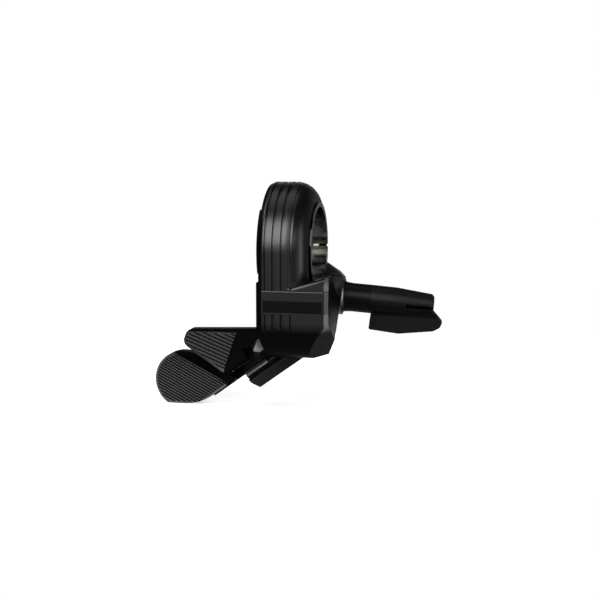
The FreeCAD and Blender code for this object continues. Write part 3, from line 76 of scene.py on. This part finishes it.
# Widths of the rounded edges on the moulded and machined pieces, and the angles of edges in degrees
ROUNDED = {
    "main_housing": 0.22 * MM,
    "left_side_cover": 0.15 * MM,
    "label_panel": 0.06 * MM,
    "pivot_bracket": 0.18 * MM,
    "upper_arm": 0.16 * MM,
    "lower_arm": 0.16 * MM,
    "upper_paddle": 0.18 * MM,
    "lower_paddle": 0.18 * MM,
    "connector_stem": 0.2 * MM,
    "plug_cover": 0.28 * MM,
    "clamp_band": 0.02 * MM,
}
ROUND_SEGMENTS = 2
ROUND_ANGLE = 32.0
SMOOTH_ANGLE = 50.0
WELD_REACH = 0.002 * MM
FLAT_ANGLE = 0.4

# Broader rounds on the front of the case: along its sloping brow, and on the raised band round the label
BROAD_SEGMENTS = 5
CASE_FRONT = -17.6 * MM
BROW_LEFT = (1.6 * MM, -8.9 * MM)
BROW_RIGHT = (12.4 * MM, -5.7 * MM)
BROW_REACH = 0.05 * MM
BROW_ROUND = 0.8 * MM
LABEL_FACE = -17.85 * MM
LABEL_TOP = -9.3 * MM
LABEL_BOTTOM = -14.9 * MM
LABEL_REACH = 0.02 * MM
LABEL_ROUND = 0.3 * MM

# Width of a sharp border of the painted sheen zones, and of a slow one
PAINTED_SHEEN_EDGE = 0.1 * MM
PAINTED_SHEEN_FADE = 2.5 * MM

# Painted sheen on the housing, with painted shade where it is left dull: its limits, and its share on the
# ring's shoulder and on the corner beside the label
PAINTED_SHEEN_BOTTOM = -20.0 * MM
PAINTED_SHEEN_LEFT = -4.75 * MM
PAINTED_SHEEN_RIGHT = 12.38 * MM
RIBS_RIGHT = 3.1 * MM
RING_FOOT = -5.5 * MM
SHOULDER_SHARE = 0.45
BESIDE_LABEL = 11.2 * MM
BESIDE_LABEL_SHARE = 0.55

# Painted sheen on the thumb pads' ridges, with painted shade at the root and along the upper border: a
# leaning line at the root, the foot of the ridges, and a dropping line on top
UPPER_RIDGES = {"root": -6.0 * MM, "lean": 0.34, "foot": -8.9 * MM, "top": -21.6 * MM, "drop": 0.0}
LOWER_RIDGES = {"root": -42.1 * MM, "lean": -0.65, "foot": -3.4 * MM, "top": -45.5 * MM, "drop": 0.517}
PAD_FADE = 0.4 * MM

# Painted highlight on the hub of the upper lever: a triangle between the hub's round, a leaning line and a
# level one
HUB_REACH = 4.3 * MM
HUB_EDGE = 0.2 * MM
HUB_LEFT = 1.25 * MM
HUB_LEAN = 0.4
HUB_BOTTOM = -26.9 * MM
HUB_FADE = 0.4 * MM

# Painted sheen on the bracket, by depth along the pin: painted shade in the dull channel, full sheen on the
# lip, a share on the plate
CHANNEL_TOP = 20.9 * MM
CHANNEL_BOTTOM = 22.2 * MM
CHANNEL_LIP = 0.35 * MM
PLATE_SHARE = 0.55

# Painted sheen on the wire port and its plug cover: a painted highlight on the flare, sheen on the barrel's
# upper half over its sloping axis with painted shade on its dull underside, and the fin
FLARE_END = 12.55 * MM
FLARE_BOTTOM = -16.5 * MM
PORT_AXIS = -12.96 * MM
PORT_DROP = 0.07
PORT_DULL = -1.0 * MM
PORT_SHINY = 0.6 * MM
STEM_SHARE = 0.05
FIN_TOP = -17.79 * MM
FIN_DROP = 0.03
FIN_SHARE = 0.78

# Clamp band round the bar: its bore, how far outside that the black starts and is full, and both colours
ACROSS_BAR = (0.0, 1.0, 1.0)
BORE_RADIUS = 11.1 * MM
BLACK_START = 0.02 * MM
BLACK_FULL = 0.12 * MM
BORE_TO_BAND = ((0.34, 0.335, 0.32), (0.02, 0.02, 0.021))

# Colours: the darker and the lighter end of each finish
HOUSING_BLACK = ((0.0014, 0.0014, 0.0015), (0.0022, 0.0022, 0.0024))
LABEL_BLACK = ((0.0012, 0.0012, 0.0014), (0.0018, 0.0018, 0.002))
PAD_BLACK = ((0.0014, 0.0014, 0.0017), (0.0022, 0.0022, 0.0026))
LEVER_BLACK = ((0.0014, 0.0014, 0.0016), (0.0022, 0.0022, 0.0025))
PORT_BLACK = ((0.0018, 0.0018, 0.002), (0.0028, 0.0028, 0.003))
SEAL_BLACK = ((0.012, 0.012, 0.012), (0.02, 0.02, 0.02))
SHELL_BLACK = ((0.012, 0.012, 0.013), (0.018, 0.018, 0.02))
BOARD_GREEN = ((0.02, 0.1, 0.04), (0.03, 0.14, 0.06))
RESIN_WHITE = ((0.6, 0.59, 0.55), (0.7, 0.69, 0.65))
SLEEVE_GREY = ((0.12, 0.12, 0.125), (0.16, 0.16, 0.165))
STEEL_GREY = ((0.4, 0.4, 0.41), (0.55, 0.55, 0.56))
BRASS_YELLOW = ((0.55, 0.4, 0.16), (0.66, 0.5, 0.22))

# Shared effects: noise scales, the stretch of turning lines, the depth of relief, the usual range of noise
GRAIN_SCALE = 5200.0
PATCH_SCALE = 140.0
LINE_SCALE = 9000.0
STREAK_SCALE = 90.0
LINE_STRETCH = (1.0, 0.03, 0.03)
RELIEF_DEPTH = 0.02 * MM
NOISE_LOW = 0.3
NOISE_HIGH = 0.7

# Studio: its white, and its floor, which glows less under the object
WHITE = (1.0, 1.0, 1.0, 1.0)
FLOOR_PALE = (0.9, 0.9, 0.9, 1.0)
FLOOR_ROUGHNESS = 0.8
FLOOR_SIZE = 180.0 * MM
FLOOR_FRONT = 60.0 * MM
FLOOR_GLOW_REACH = 120.0 * MM
FLOOR_GLOW_NEAR = 0.15
FLOOR_GLOW_FAR = 1.0

# World, by the height, depth and side of a direction: dim light that fades upwards, and a mirrored backdrop
AMBIENT = 0.2
AMBIENT_ABOVE = 0.03
CEILING_START = 0.1
CEILING_FULL = 0.6
BACKDROP_START = 0.1
BACKDROP_FULL = 0.6
BACKDROP_TOP = 0.2
BACKDROP_FADE = 0.45
BACKDROP_LEFT = -0.05
BACKDROP_RIGHT = 0.15

# Soft lamps: place and size in metres, power in watts
LAMPS = {
    "front_box": ((-0.09, -0.5, 0.3), (0.4, 0.42), 3.8),
    "right_box": ((0.55, -0.1, 0.03), (0.2, 0.4), 1.4),
    "camera_side_box": ((0.36, -0.43, 0.19), (0.22, 0.2), 0.8),
    "left_box": ((-0.5, 0.0, 0.4), (0.3, 0.2), 1.8),
    "top_box": ((0.0, 0.1, 0.6), (0.5, 0.4), 0.5),
}


# Rounded pieces
def only(obj):
    """Leave one object selected and active."""
    bpy.ops.object.select_all(action="DESELECT")
    obj.select_set(True)
    bpy.context.view_layer.objects.active = obj


def body_holding(node):
    """Name of the body that carries a node."""
    bodies = frame["record"]["behaviour"]["bodies"]
    return next(body for body, members in bodies.items() if node in members)


def on_brow_edge(place):
    """On the edge between the front of the case and its sloping brow."""
    left, left_height = BROW_LEFT
    right, right_height = BROW_RIGHT
    along = (place.x - left) / (right - left)
    height = left_height + along * (right_height - left_height)
    return abs(place.y - CASE_FRONT) < BROW_REACH and abs(place.z - height) < BROW_REACH


def on_label_edge(place):
    """On the top edge of the raised band round the label, or on the lip under the label."""
    beside = min(abs(place.z - LABEL_TOP), abs(place.z - LABEL_BOTTOM))
    return abs(place.y - LABEL_FACE) < LABEL_REACH and beside < LABEL_REACH


def round_broadly(piece, chosen, width):
    """Give the edges that lie wholly on a chosen line a broad round."""
    only(piece)
    points = piece.data.vertices
    for polygon in piece.data.polygons:
        polygon.select = False
    for point in points:
        point.select = False
    for edge in piece.data.edges:
        edge.select = all(chosen(points[i].co) for i in edge.vertices)
    bpy.ops.object.mode_set(mode="EDIT")
    bpy.ops.mesh.select_mode(type="EDGE")
    bpy.ops.mesh.bevel(offset=width, segments=BROAD_SEGMENTS, affect="EDGES")
    bpy.ops.mesh.select_mode(type="VERT")
    bpy.ops.object.mode_set(mode="OBJECT")


def rounded_piece(node, width):
    """Welded copy of a node with its hard edges rounded over."""
    piece = bpy.data.objects.new(node + "_rounded", frame["nodes"][node].data.copy())
    bpy.context.scene.collection.objects.link(piece)
    only(piece)
    bpy.ops.object.mode_set(mode="EDIT")
    bpy.ops.mesh.select_all(action="SELECT")
    bpy.ops.mesh.remove_doubles(threshold=WELD_REACH)
    bpy.ops.mesh.dissolve_limited(angle_limit=math.radians(FLAT_ANGLE))
    bpy.ops.object.mode_set(mode="OBJECT")
    if node == "main_housing":
        round_broadly(piece, on_brow_edge, BROW_ROUND)
        round_broadly(piece, on_label_edge, LABEL_ROUND)
    bevel = piece.modifiers.new("rounded edges", "BEVEL")
    bevel.width = width
    bevel.segments = ROUND_SEGMENTS
    bevel.limit_method = "ANGLE"
    bevel.angle_limit = math.radians(ROUND_ANGLE)
    bpy.ops.object.modifier_apply(modifier=bevel.name)
    bpy.ops.object.shade_smooth_by_angle(angle=math.radians(SMOOTH_ANGLE))
    flat = piece.modifiers.new("flat faces", "WEIGHTED_NORMAL")
    flat.keep_sharp = True
    bpy.ops.object.modifier_apply(modifier=flat.name)
    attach(piece, body_holding(node))
    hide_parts(node)
    return piece


# Small node helpers
def math_node(tree, operation, first, second):
    """Maths on two values, each a plain number or an output to link."""
    node = tree.nodes.new("ShaderNodeMath")
    node.operation = operation
    for socket, value in zip(node.inputs, (first, second)):
        if isinstance(value, (int, float)):
            socket.default_value = value
        else:
            tree.links.new(value, socket)
    return node.outputs["Value"]


def product(tree, result, *others):
    """Several values multiplied together."""
    for other in others:
        result = math_node(tree, "MULTIPLY", result, other)
    return result


def greatest(tree, result, *others):
    """Greatest of several values."""
    for other in others:
        result = math_node(tree, "MAXIMUM", result, other)
    return result


def ramp(tree, value, start, end, before=0.0, after=1.0):
    """One level before the start, another after the end."""
    span = tree.nodes.new("ShaderNodeMapRange")
    span.inputs["From Min"].default_value = start
    span.inputs["From Max"].default_value = end
    span.inputs["To Min"].default_value = before
    span.inputs["To Max"].default_value = after
    tree.links.new(value, span.inputs["Value"])
    return span.outputs["Result"]


def vector_node(tree, operation, vector, fixed=None):
    """Vector maths on a linked vector, with a fixed one where it takes two."""
    node = tree.nodes.new("ShaderNodeVectorMath")
    node.operation = operation
    tree.links.new(vector, node.inputs[0])
    if fixed is not None:
        node.inputs[1].default_value = fixed
    gives_number = operation in ("LENGTH", "DOT_PRODUCT")
    return node.outputs["Value" if gives_number else "Vector"]


def mixed_colour(tree, value, colours):
    """Colour between two ends, the first at 0 and the second at 1."""
    first, second = colours
    mix = tree.nodes.new("ShaderNodeMix")
    mix.data_type = "RGBA"
    mix.inputs["A"].default_value = (*first, 1.0)
    mix.inputs["B"].default_value = (*second, 1.0)
    tree.links.new(value, mix.inputs["Factor"])
    return mix.outputs["Result"]


def noise(tree, place, scale, detail):
    """Noise at a place, with a linked scale."""
    texture = tree.nodes.new("ShaderNodeTexNoise")
    texture.inputs["Detail"].default_value = detail
    tree.links.new(place, texture.inputs["Vector"])
    tree.links.new(scale, texture.inputs["Scale"])
    return texture.outputs["Fac"]


def object_place(tree):
    """Place on a piece, in the part's own frame."""
    return tree.nodes.new("ShaderNodeTexCoord").outputs["Object"]


def object_axes(tree):
    """X, Y and Z of the place on a piece."""
    axes = tree.nodes.new("ShaderNodeSeparateXYZ")
    tree.links.new(object_place(tree), axes.inputs["Vector"])
    return axes.outputs


def over_line(tree, height, drop):
    """Height over a line that has the given height at x = 0 and drops to the right."""
    axes = object_axes(tree)
    levelled = math_node(tree, "ADD", axes["Z"], math_node(tree, "MULTIPLY", axes["X"], drop))
    return math_node(tree, "SUBTRACT", levelled, height)


def right_of_line(tree, side, lean):
    """Distance to the right of a line that has the given x at z = 0 and leans."""
    axes = object_axes(tree)
    upright = math_node(tree, "SUBTRACT", axes["X"], math_node(tree, "MULTIPLY", axes["Z"], lean))
    return math_node(tree, "SUBTRACT", upright, side)


# Shared effects, as node groups
def group_with(name, inputs, outputs):
    """Empty shader node group with float inputs and outputs."""
    group = bpy.data.node_groups.new(name, "ShaderNodeTree")
    for label, value in inputs.items():
        socket = group.interface.new_socket(label, in_out="INPUT", socket_type="NodeSocketFloat")
        socket.default_value = value
    for label in outputs:
        group.interface.new_socket(label, in_out="OUTPUT", socket_type="NodeSocketFloat")
    start = group.nodes.new("NodeGroupInput")
    end = group.nodes.new("NodeGroupOutput")
    return group, start, end


def spark_grain():
    """Fine spark-eroded texture of a mould, with slow patches of shine."""
    scales = {"Grain Scale": GRAIN_SCALE, "Patch Scale": PATCH_SCALE}
    group, start, end = group_with("Spark grain", scales, ["Height", "Patches"])
    place = object_place(group)
    grain = noise(group, place, start.outputs["Grain Scale"], detail=2.0)
    patches = noise(group, place, start.outputs["Patch Scale"], detail=3.0)
    group.links.new(grain, end.inputs["Height"])
    group.links.new(patches, end.inputs["Patches"])
    return group


def lathe_lines():
    """Fine turning lines round the bar's axis, for turned and rolled metal."""
    scales = {"Line Scale": LINE_SCALE, "Streak Scale": STREAK_SCALE}
    group, start, end = group_with("Lathe lines", scales, ["Height", "Streaks"])
    place = object_place(group)
    stretched = vector_node(group, "MULTIPLY", place, LINE_STRETCH)
    lines = noise(group, stretched, start.outputs["Line Scale"], detail=3.0)
    streaks = noise(group, place, start.outputs["Streak Scale"], detail=4.0)
    group.links.new(lines, end.inputs["Height"])
    group.links.new(streaks, end.inputs["Streaks"])
    return group


SPARK_GRAIN = spark_grain()
LATHE_LINES = lathe_lines()


# Finishes
def finish_base(name, effect):
    """New material with its Principled shader and one shared effect in it."""
    material = bpy.data.materials.new(name)
    material.use_nodes = True
    tree = material.node_tree
    shader = tree.nodes["Principled BSDF"]
    node = tree.nodes.new("ShaderNodeGroup")
    node.node_tree = effect
    return material, tree, shader, node


def varied(tree, shader, value, colours, roughness):
    """Colour and roughness that change together with a value."""
    tree.links.new(mixed_colour(tree, value, colours), shader.inputs["Base Color"])
    tree.links.new(ramp(tree, value, NOISE_LOW, NOISE_HIGH, *roughness), shader.inputs["Roughness"])


def relief(tree, shader, height, strength):
    """Fine bumps on a surface."""
    bump = tree.nodes.new("ShaderNodeBump")
    bump.inputs["Strength"].default_value = strength
    bump.inputs["Distance"].default_value = RELIEF_DEPTH
    tree.links.new(height, bump.inputs["Height"])
    tree.links.new(bump.outputs["Normal"], shader.inputs["Normal"])


def moulded(name, colours, roughness, grain, gloss=0.2):
    """Moulded plastic or rubber: spark grain, and patches of colour and shine."""
    material, tree, shader, effect = finish_base(name, SPARK_GRAIN)
    shader.inputs["Specular IOR Level"].default_value = gloss
    varied(tree, shader, effect.outputs["Patches"], colours, roughness)
    relief(tree, shader, effect.outputs["Height"], grain)
    return material


def metal(name, colours, roughness, grain):
    """Bare metal with turning lines."""
    material, tree, shader, effect = finish_base(name, LATHE_LINES)
    shader.inputs["Metallic"].default_value = 1.0
    varied(tree, shader, effect.outputs["Streaks"], colours, roughness)
    relief(tree, shader, effect.outputs["Height"], grain)
    return material


def painted_sheen(material, mask, weight, roughness, ior=1.5):
    """Clear coat over part of a finish as painted sheen, left off as painted shade elsewhere, in a zone set
    by the light and dark areas in the photograph.
    """
    tree = material.node_tree
    shader = tree.nodes["Principled BSDF"]
    tree.links.new(product(tree, mask, weight), shader.inputs["Coat Weight"])
    shader.inputs["Coat Roughness"].default_value = roughness
    shader.inputs["Coat IOR"].default_value = ior
    return material


def ribbed_housing(name):
    """Black moulding with painted sheen on the ribs and the front, less on the shoulder and the corner, and
    painted shade low down and along the left edge.
    """
    material = moulded(name, HOUSING_BLACK, roughness=(0.36, 0.44), grain=0.12, gloss=0.008)
    tree = material.node_tree
    axes = object_axes(tree)
    above = ramp(tree, axes["Z"], PAINTED_SHEEN_BOTTOM, PAINTED_SHEEN_BOTTOM + PAINTED_SHEEN_FADE)
    left_of = ramp(tree, axes["X"], PAINTED_SHEEN_RIGHT, PAINTED_SHEEN_RIGHT - PAINTED_SHEEN_EDGE)
    right_of = ramp(tree, axes["X"], PAINTED_SHEEN_LEFT, PAINTED_SHEEN_LEFT + PAINTED_SHEEN_EDGE)
    on_ribs = ramp(tree, axes["X"], RIBS_RIGHT, RIBS_RIGHT - PAINTED_SHEEN_EDGE)
    on_case = ramp(tree, axes["Z"], RING_FOOT, RING_FOOT - PAINTED_SHEEN_FADE)
    off_shoulder = greatest(tree, on_ribs, on_case, SHOULDER_SHARE)
    over_label = ramp(tree, axes["Z"], LABEL_TOP, LABEL_TOP + PAINTED_SHEEN_EDGE)
    under_label = ramp(tree, axes["Z"], LABEL_BOTTOM, LABEL_BOTTOM - PAINTED_SHEEN_EDGE)
    on_front = ramp(tree, axes["X"], BESIDE_LABEL, BESIDE_LABEL - PAINTED_SHEEN_EDGE)
    off_corner = greatest(tree, over_label, under_label, on_front, BESIDE_LABEL_SHARE)
    # Painted sheen where this mask is high; the dull rest of the housing is painted shade.
    mask = product(tree, above, left_of, right_of, off_shoulder, off_corner)
    return painted_sheen(material, mask, weight=1.0, roughness=0.33)


def ridged_pad(name, root, lean, foot, top, drop):
    """Thumb pad with painted sheen on its ridges, and painted shade on a dull root and a dull upper border.
    """
    material = moulded(name, PAD_BLACK, roughness=(0.4, 0.48), grain=0.12, gloss=0.015)
    tree = material.node_tree
    off_root = ramp(tree, right_of_line(tree, root, lean), 0.0, -PAD_FADE)
    raised = ramp(tree, object_axes(tree)["Y"], foot, foot - PAINTED_SHEEN_EDGE)
    below_border = ramp(tree, over_line(tree, top, drop), 0.0, -PAD_FADE)
    # Painted sheen on the raised ridges; the dull root and upper border are painted shade.
    mask = product(tree, off_root, raised, below_border)
    return painted_sheen(material, mask, weight=1.0, roughness=0.22, ior=1.75)


def lever_with_painted_hub_highlight(name):
    """Satin black lever with a painted highlight on a triangle of its hub."""
    material = moulded(name, LEVER_BLACK, roughness=(0.34, 0.42), grain=0.1, gloss=0.02)
    tree = material.node_tree
    from_pivot = vector_node(tree, "SUBTRACT", object_place(tree), PIVOT)
    reach = vector_node(tree, "LENGTH", vector_node(tree, "CROSS_PRODUCT", from_pivot, PIN_AXIS))
    hub = ramp(tree, reach, HUB_REACH, HUB_REACH - HUB_EDGE)
    right_of = ramp(tree, right_of_line(tree, HUB_LEFT, HUB_LEAN), 0.0, HUB_FADE)
    above = ramp(tree, object_axes(tree)["Z"], HUB_BOTTOM, HUB_BOTTOM + HUB_FADE)
    # Painted highlight: a strong coat on a triangle of the hub, standing in for light falling there.
    return painted_sheen(material, product(tree, hub, right_of, above), weight=1.0, roughness=0.3, ior=2.2)


def channelled_bracket(name):
    """Black bracket with painted sheen on its bead and its plate, and painted shade in the dull channel
    between them.
    """
    material = moulded(name, LEVER_BLACK, roughness=(0.26, 0.32), grain=0.1, gloss=0.02)
    tree = material.node_tree
    depth = vector_node(tree, "DOT_PRODUCT", object_place(tree), PIN_AXIS)
    lip_end = CHANNEL_BOTTOM + CHANNEL_LIP
    bead = ramp(tree, depth, CHANNEL_TOP, CHANNEL_TOP - PAINTED_SHEEN_EDGE)
    plate = ramp(tree, depth, CHANNEL_BOTTOM - PAINTED_SHEEN_EDGE, CHANNEL_BOTTOM)
    lip = ramp(tree, depth, lip_end + PAINTED_SHEEN_EDGE, lip_end)
    # Painted sheen on bead, lip and plate; the dull channel is painted shade.
    mask = greatest(tree, bead, product(tree, plate, greatest(tree, lip, PLATE_SHARE)))
    return painted_sheen(material, mask, weight=0.45, roughness=0.28)


def upper_barrel(tree):
    """Upper half of the wire port's sloping barrel, which takes painted sheen while its underside is left
    dull as painted shade.
    """
    return ramp(tree, over_line(tree, PORT_AXIS, PORT_DROP), PORT_DULL, PORT_SHINY)


def flared_port(name):
    """Black port moulding with a painted highlight on the flare where it meets the case, and painted shade
    on its dull underside.
    """
    material = moulded(name, PORT_BLACK, roughness=(0.4, 0.48), grain=0.1, gloss=0.02)
    tree = material.node_tree
    axes = object_axes(tree)
    at_case = ramp(tree, axes["X"], FLARE_END, FLARE_END - PAINTED_SHEEN_EDGE)
    above = ramp(tree, axes["Z"], FLARE_BOTTOM, FLARE_BOTTOM + PAINTED_SHEEN_FADE)
    flare = product(tree, at_case, above)
    # Painted highlight on the flare, faint painted sheen on the barrel's upper half; the underside is
    # painted shade.
    mask = greatest(tree, flare, product(tree, upper_barrel(tree), STEM_SHARE))
    return painted_sheen(material, mask, weight=1.0, roughness=0.34, ior=1.8)


def finned_plug(name):
    """Black plug cover with painted sheen on top and on its fin, and painted shade along the dull underside
    of its barrel.
    """
    material = moulded(name, PORT_BLACK, roughness=(0.42, 0.5), grain=0.1, gloss=0.02)
    tree = material.node_tree
    fin = ramp(tree, over_line(tree, FIN_TOP, FIN_DROP), 0.0, -PAINTED_SHEEN_EDGE)
    # Painted sheen on the upper half and the fin; the dull underside is painted shade.
    mask = greatest(tree, upper_barrel(tree), product(tree, fin, FIN_SHARE))
    return painted_sheen(material, mask, weight=0.2, roughness=0.44)


def bored_band(name, roughness):
    """Black clamp band, left bright where its bore is turned for the bar."""
    material, tree, shader, effect = finish_base(name, LATHE_LINES)
    shader.inputs["Metallic"].default_value = 1.0
    across = vector_node(tree, "MULTIPLY", object_place(tree), ACROSS_BAR)
    radius = vector_node(tree, "LENGTH", across)
    outside = ramp(tree, radius, BORE_RADIUS + BLACK_START, BORE_RADIUS + BLACK_FULL)
    streaked = ramp(tree, effect.outputs["Streaks"], NOISE_LOW, NOISE_HIGH, *roughness)
    tree.links.new(mixed_colour(tree, outside, BORE_TO_BAND), shader.inputs["Base Color"])
    tree.links.new(streaked, shader.inputs["Roughness"])
    return material


# Finish of each material slot, and of the nodes that have one of their own
FINISHES = {
    "moulded_black": ribbed_housing("ribbed black moulding"),
    "label_black": moulded("label inlay", LABEL_BLACK, roughness=(0.14, 0.2), grain=0.03, gloss=0.3),
    "band_black": bored_band("black band with a bright bore", roughness=(0.08, 0.12)),
    "bright_steel": metal("plain steel", STEEL_GREY, roughness=(0.25, 0.4), grain=0.2),
    "seal_rubber": moulded("seal rubber", SEAL_BLACK, roughness=(0.6, 0.75), grain=0.3),
    "board_green": moulded("board lacquer", BOARD_GREEN, roughness=(0.25, 0.35), grain=0.1),
    "switch_shell": moulded("switch shell", SHELL_BLACK, roughness=(0.4, 0.5), grain=0.2),
    "plunger_white": moulded("plunger resin", RESIN_WHITE, roughness=(0.35, 0.45), grain=0.1),
    "lever_black": moulded("satin black lever", LEVER_BLACK, roughness=(0.34, 0.42), grain=0.1, gloss=0.02),
    "pad_grey": ridged_pad("thumb pad", **UPPER_RIDGES),
    "bush_brass": metal("bearing brass", BRASS_YELLOW, roughness=(0.25, 0.4), grain=0.2),
    "port_black": flared_port("port moulding"),
    "wire_grey": moulded("wire sleeve", SLEEVE_GREY, roughness=(0.45, 0.55), grain=0.1),
}
NODE_FINISHES = {
    "pivot_bracket": channelled_bracket("channelled black bracket"),
    # Upper arm: lever with a painted highlight on its hub.
    "upper_arm": lever_with_painted_hub_highlight("black lever with a painted highlight on its hub"),
    "lower_paddle": ridged_pad("round thumb pad", **LOWER_RIDGES),
    "plug_cover": finned_plug("finned plug cover"),
}


def dress():
    """Give every node and every rounded piece its finish."""
    for part in frame["record"]["subparts"]:
        node = part["node"]
        slot = part["material_slot"]
        pieces = [frame["nodes"][node]]
        if node in ROUNDED:
            piece = rounded_piece(node, ROUNDED[node])
            pieces.append(piece)
        for piece in pieces:
            piece.data.materials.clear()
            piece.data.materials.append(NODE_FINISHES.get(node, FINISHES[slot]))


# Studio
def background_rays(tree):
    """Rays that see the background, and rays that meet it in a mirror or through glass."""
    rays = tree.nodes.new("ShaderNodeLightPath")
    mirrored = greatest(tree, rays.outputs["Is Glossy Ray"], rays.outputs["Is Transmission Ray"])
    return rays.outputs["Is Camera Ray"], mirrored


def floor_finish():
    """Pale matt floor that takes a shadow, and glows white away from the object."""
    material = bpy.data.materials.new("studio floor")
    material.use_nodes = True
    tree = material.node_tree
    shader = tree.nodes["Principled BSDF"]
    shader.inputs["Base Color"].default_value = FLOOR_PALE
    shader.inputs["Roughness"].default_value = FLOOR_ROUGHNESS
    shader.inputs["Emission Color"].default_value = WHITE
    distance = vector_node(tree, "LENGTH", object_place(tree))
    level = ramp(tree, distance, 0.0, FLOOR_GLOW_REACH, FLOOR_GLOW_NEAR, FLOOR_GLOW_FAR)
    shown = greatest(tree, *background_rays(tree))
    tree.links.new(product(tree, shown, level), shader.inputs["Emission Strength"])
    return material


def studio_floor():
    """Floor under the object."""
    place = (0.0, FLOOR_SIZE / 2 - FLOOR_FRONT, cad_box[0][2])
    bpy.ops.object.select_all(action="DESELECT")
    bpy.ops.mesh.primitive_plane_add(size=FLOOR_SIZE, location=place)
    floor = bpy.context.active_object
    bpy.ops.object.transform_apply(location=True)
    floor.name = "studio_floor"
    floor.data.materials.append(floor_finish())


def studio_world():
    """Dim light all round, white to the camera, with a white backdrop behind on the left for mirrors."""
    world = bpy.data.worlds.new("studio")
    bpy.context.scene.world = world
    world.use_nodes = True
    tree = world.node_tree
    direction = tree.nodes.new("ShaderNodeSeparateXYZ")
    tree.links.new(tree.nodes.new("ShaderNodeTexCoord").outputs["Generated"], direction.inputs["Vector"])
    behind = ramp(tree, direction.outputs["Y"], BACKDROP_START, BACKDROP_FULL)
    low_down = ramp(tree, direction.outputs["Z"], BACKDROP_FADE, BACKDROP_TOP)
    on_left = ramp(tree, direction.outputs["X"], BACKDROP_RIGHT, BACKDROP_LEFT)
    ambient = ramp(tree, direction.outputs["Z"], CEILING_START, CEILING_FULL, AMBIENT, AMBIENT_ABOVE)
    seen, mirrored = background_rays(tree)
    backdrop = product(tree, mirrored, behind, low_down, on_left)
    background = tree.nodes["Background"]
    background.inputs["Color"].default_value = WHITE
    tree.links.new(greatest(tree, seen, backdrop, ambient), background.inputs["Strength"])


def soft_lamps():
    """Large soft lamps, aimed at the middle of the picture."""
    for name, (place, size, power) in LAMPS.items():
        data = bpy.data.lights.new(name, "AREA")
        data.shape = "RECTANGLE"
        data.size, data.size_y = size
        data.energy = power
        lamp = bpy.data.objects.new(name, data)
        bpy.context.scene.collection.objects.link(lamp)
        lamp.location = place
        lamp.rotation_euler = (CAMERA_TARGET - Vector(place)).to_track_quat("-Z", "Y").to_euler()


def photo_camera():
    """Camera at the photograph's viewing angle."""
    azimuth = math.radians(CAMERA_AZIMUTH)
    elevation = math.radians(CAMERA_ELEVATION)
    backwards = Vector((math.sin(azimuth) * math.cos(elevation),
                        -math.cos(azimuth) * math.cos(elevation),
                        math.sin(elevation)))
    data = bpy.data.cameras.new("photo_camera")
    data.lens = CAMERA_LENS
    data.sensor_width = CAMERA_SENSOR
    data.clip_start = CAMERA_NEAREST
    camera = bpy.data.objects.new("photo_camera", data)
    bpy.context.scene.collection.objects.link(camera)
    camera.location = CAMERA_TARGET + backwards * CAMERA_DISTANCE
    camera.rotation_euler = (-backwards).to_track_quat("-Z", "Y").to_euler()
    bpy.context.scene.camera = camera


dress()
studio_floor()
studio_world()
soft_lamps()
photo_camera()
bpy.context.scene.view_settings.view_transform = "Standard"
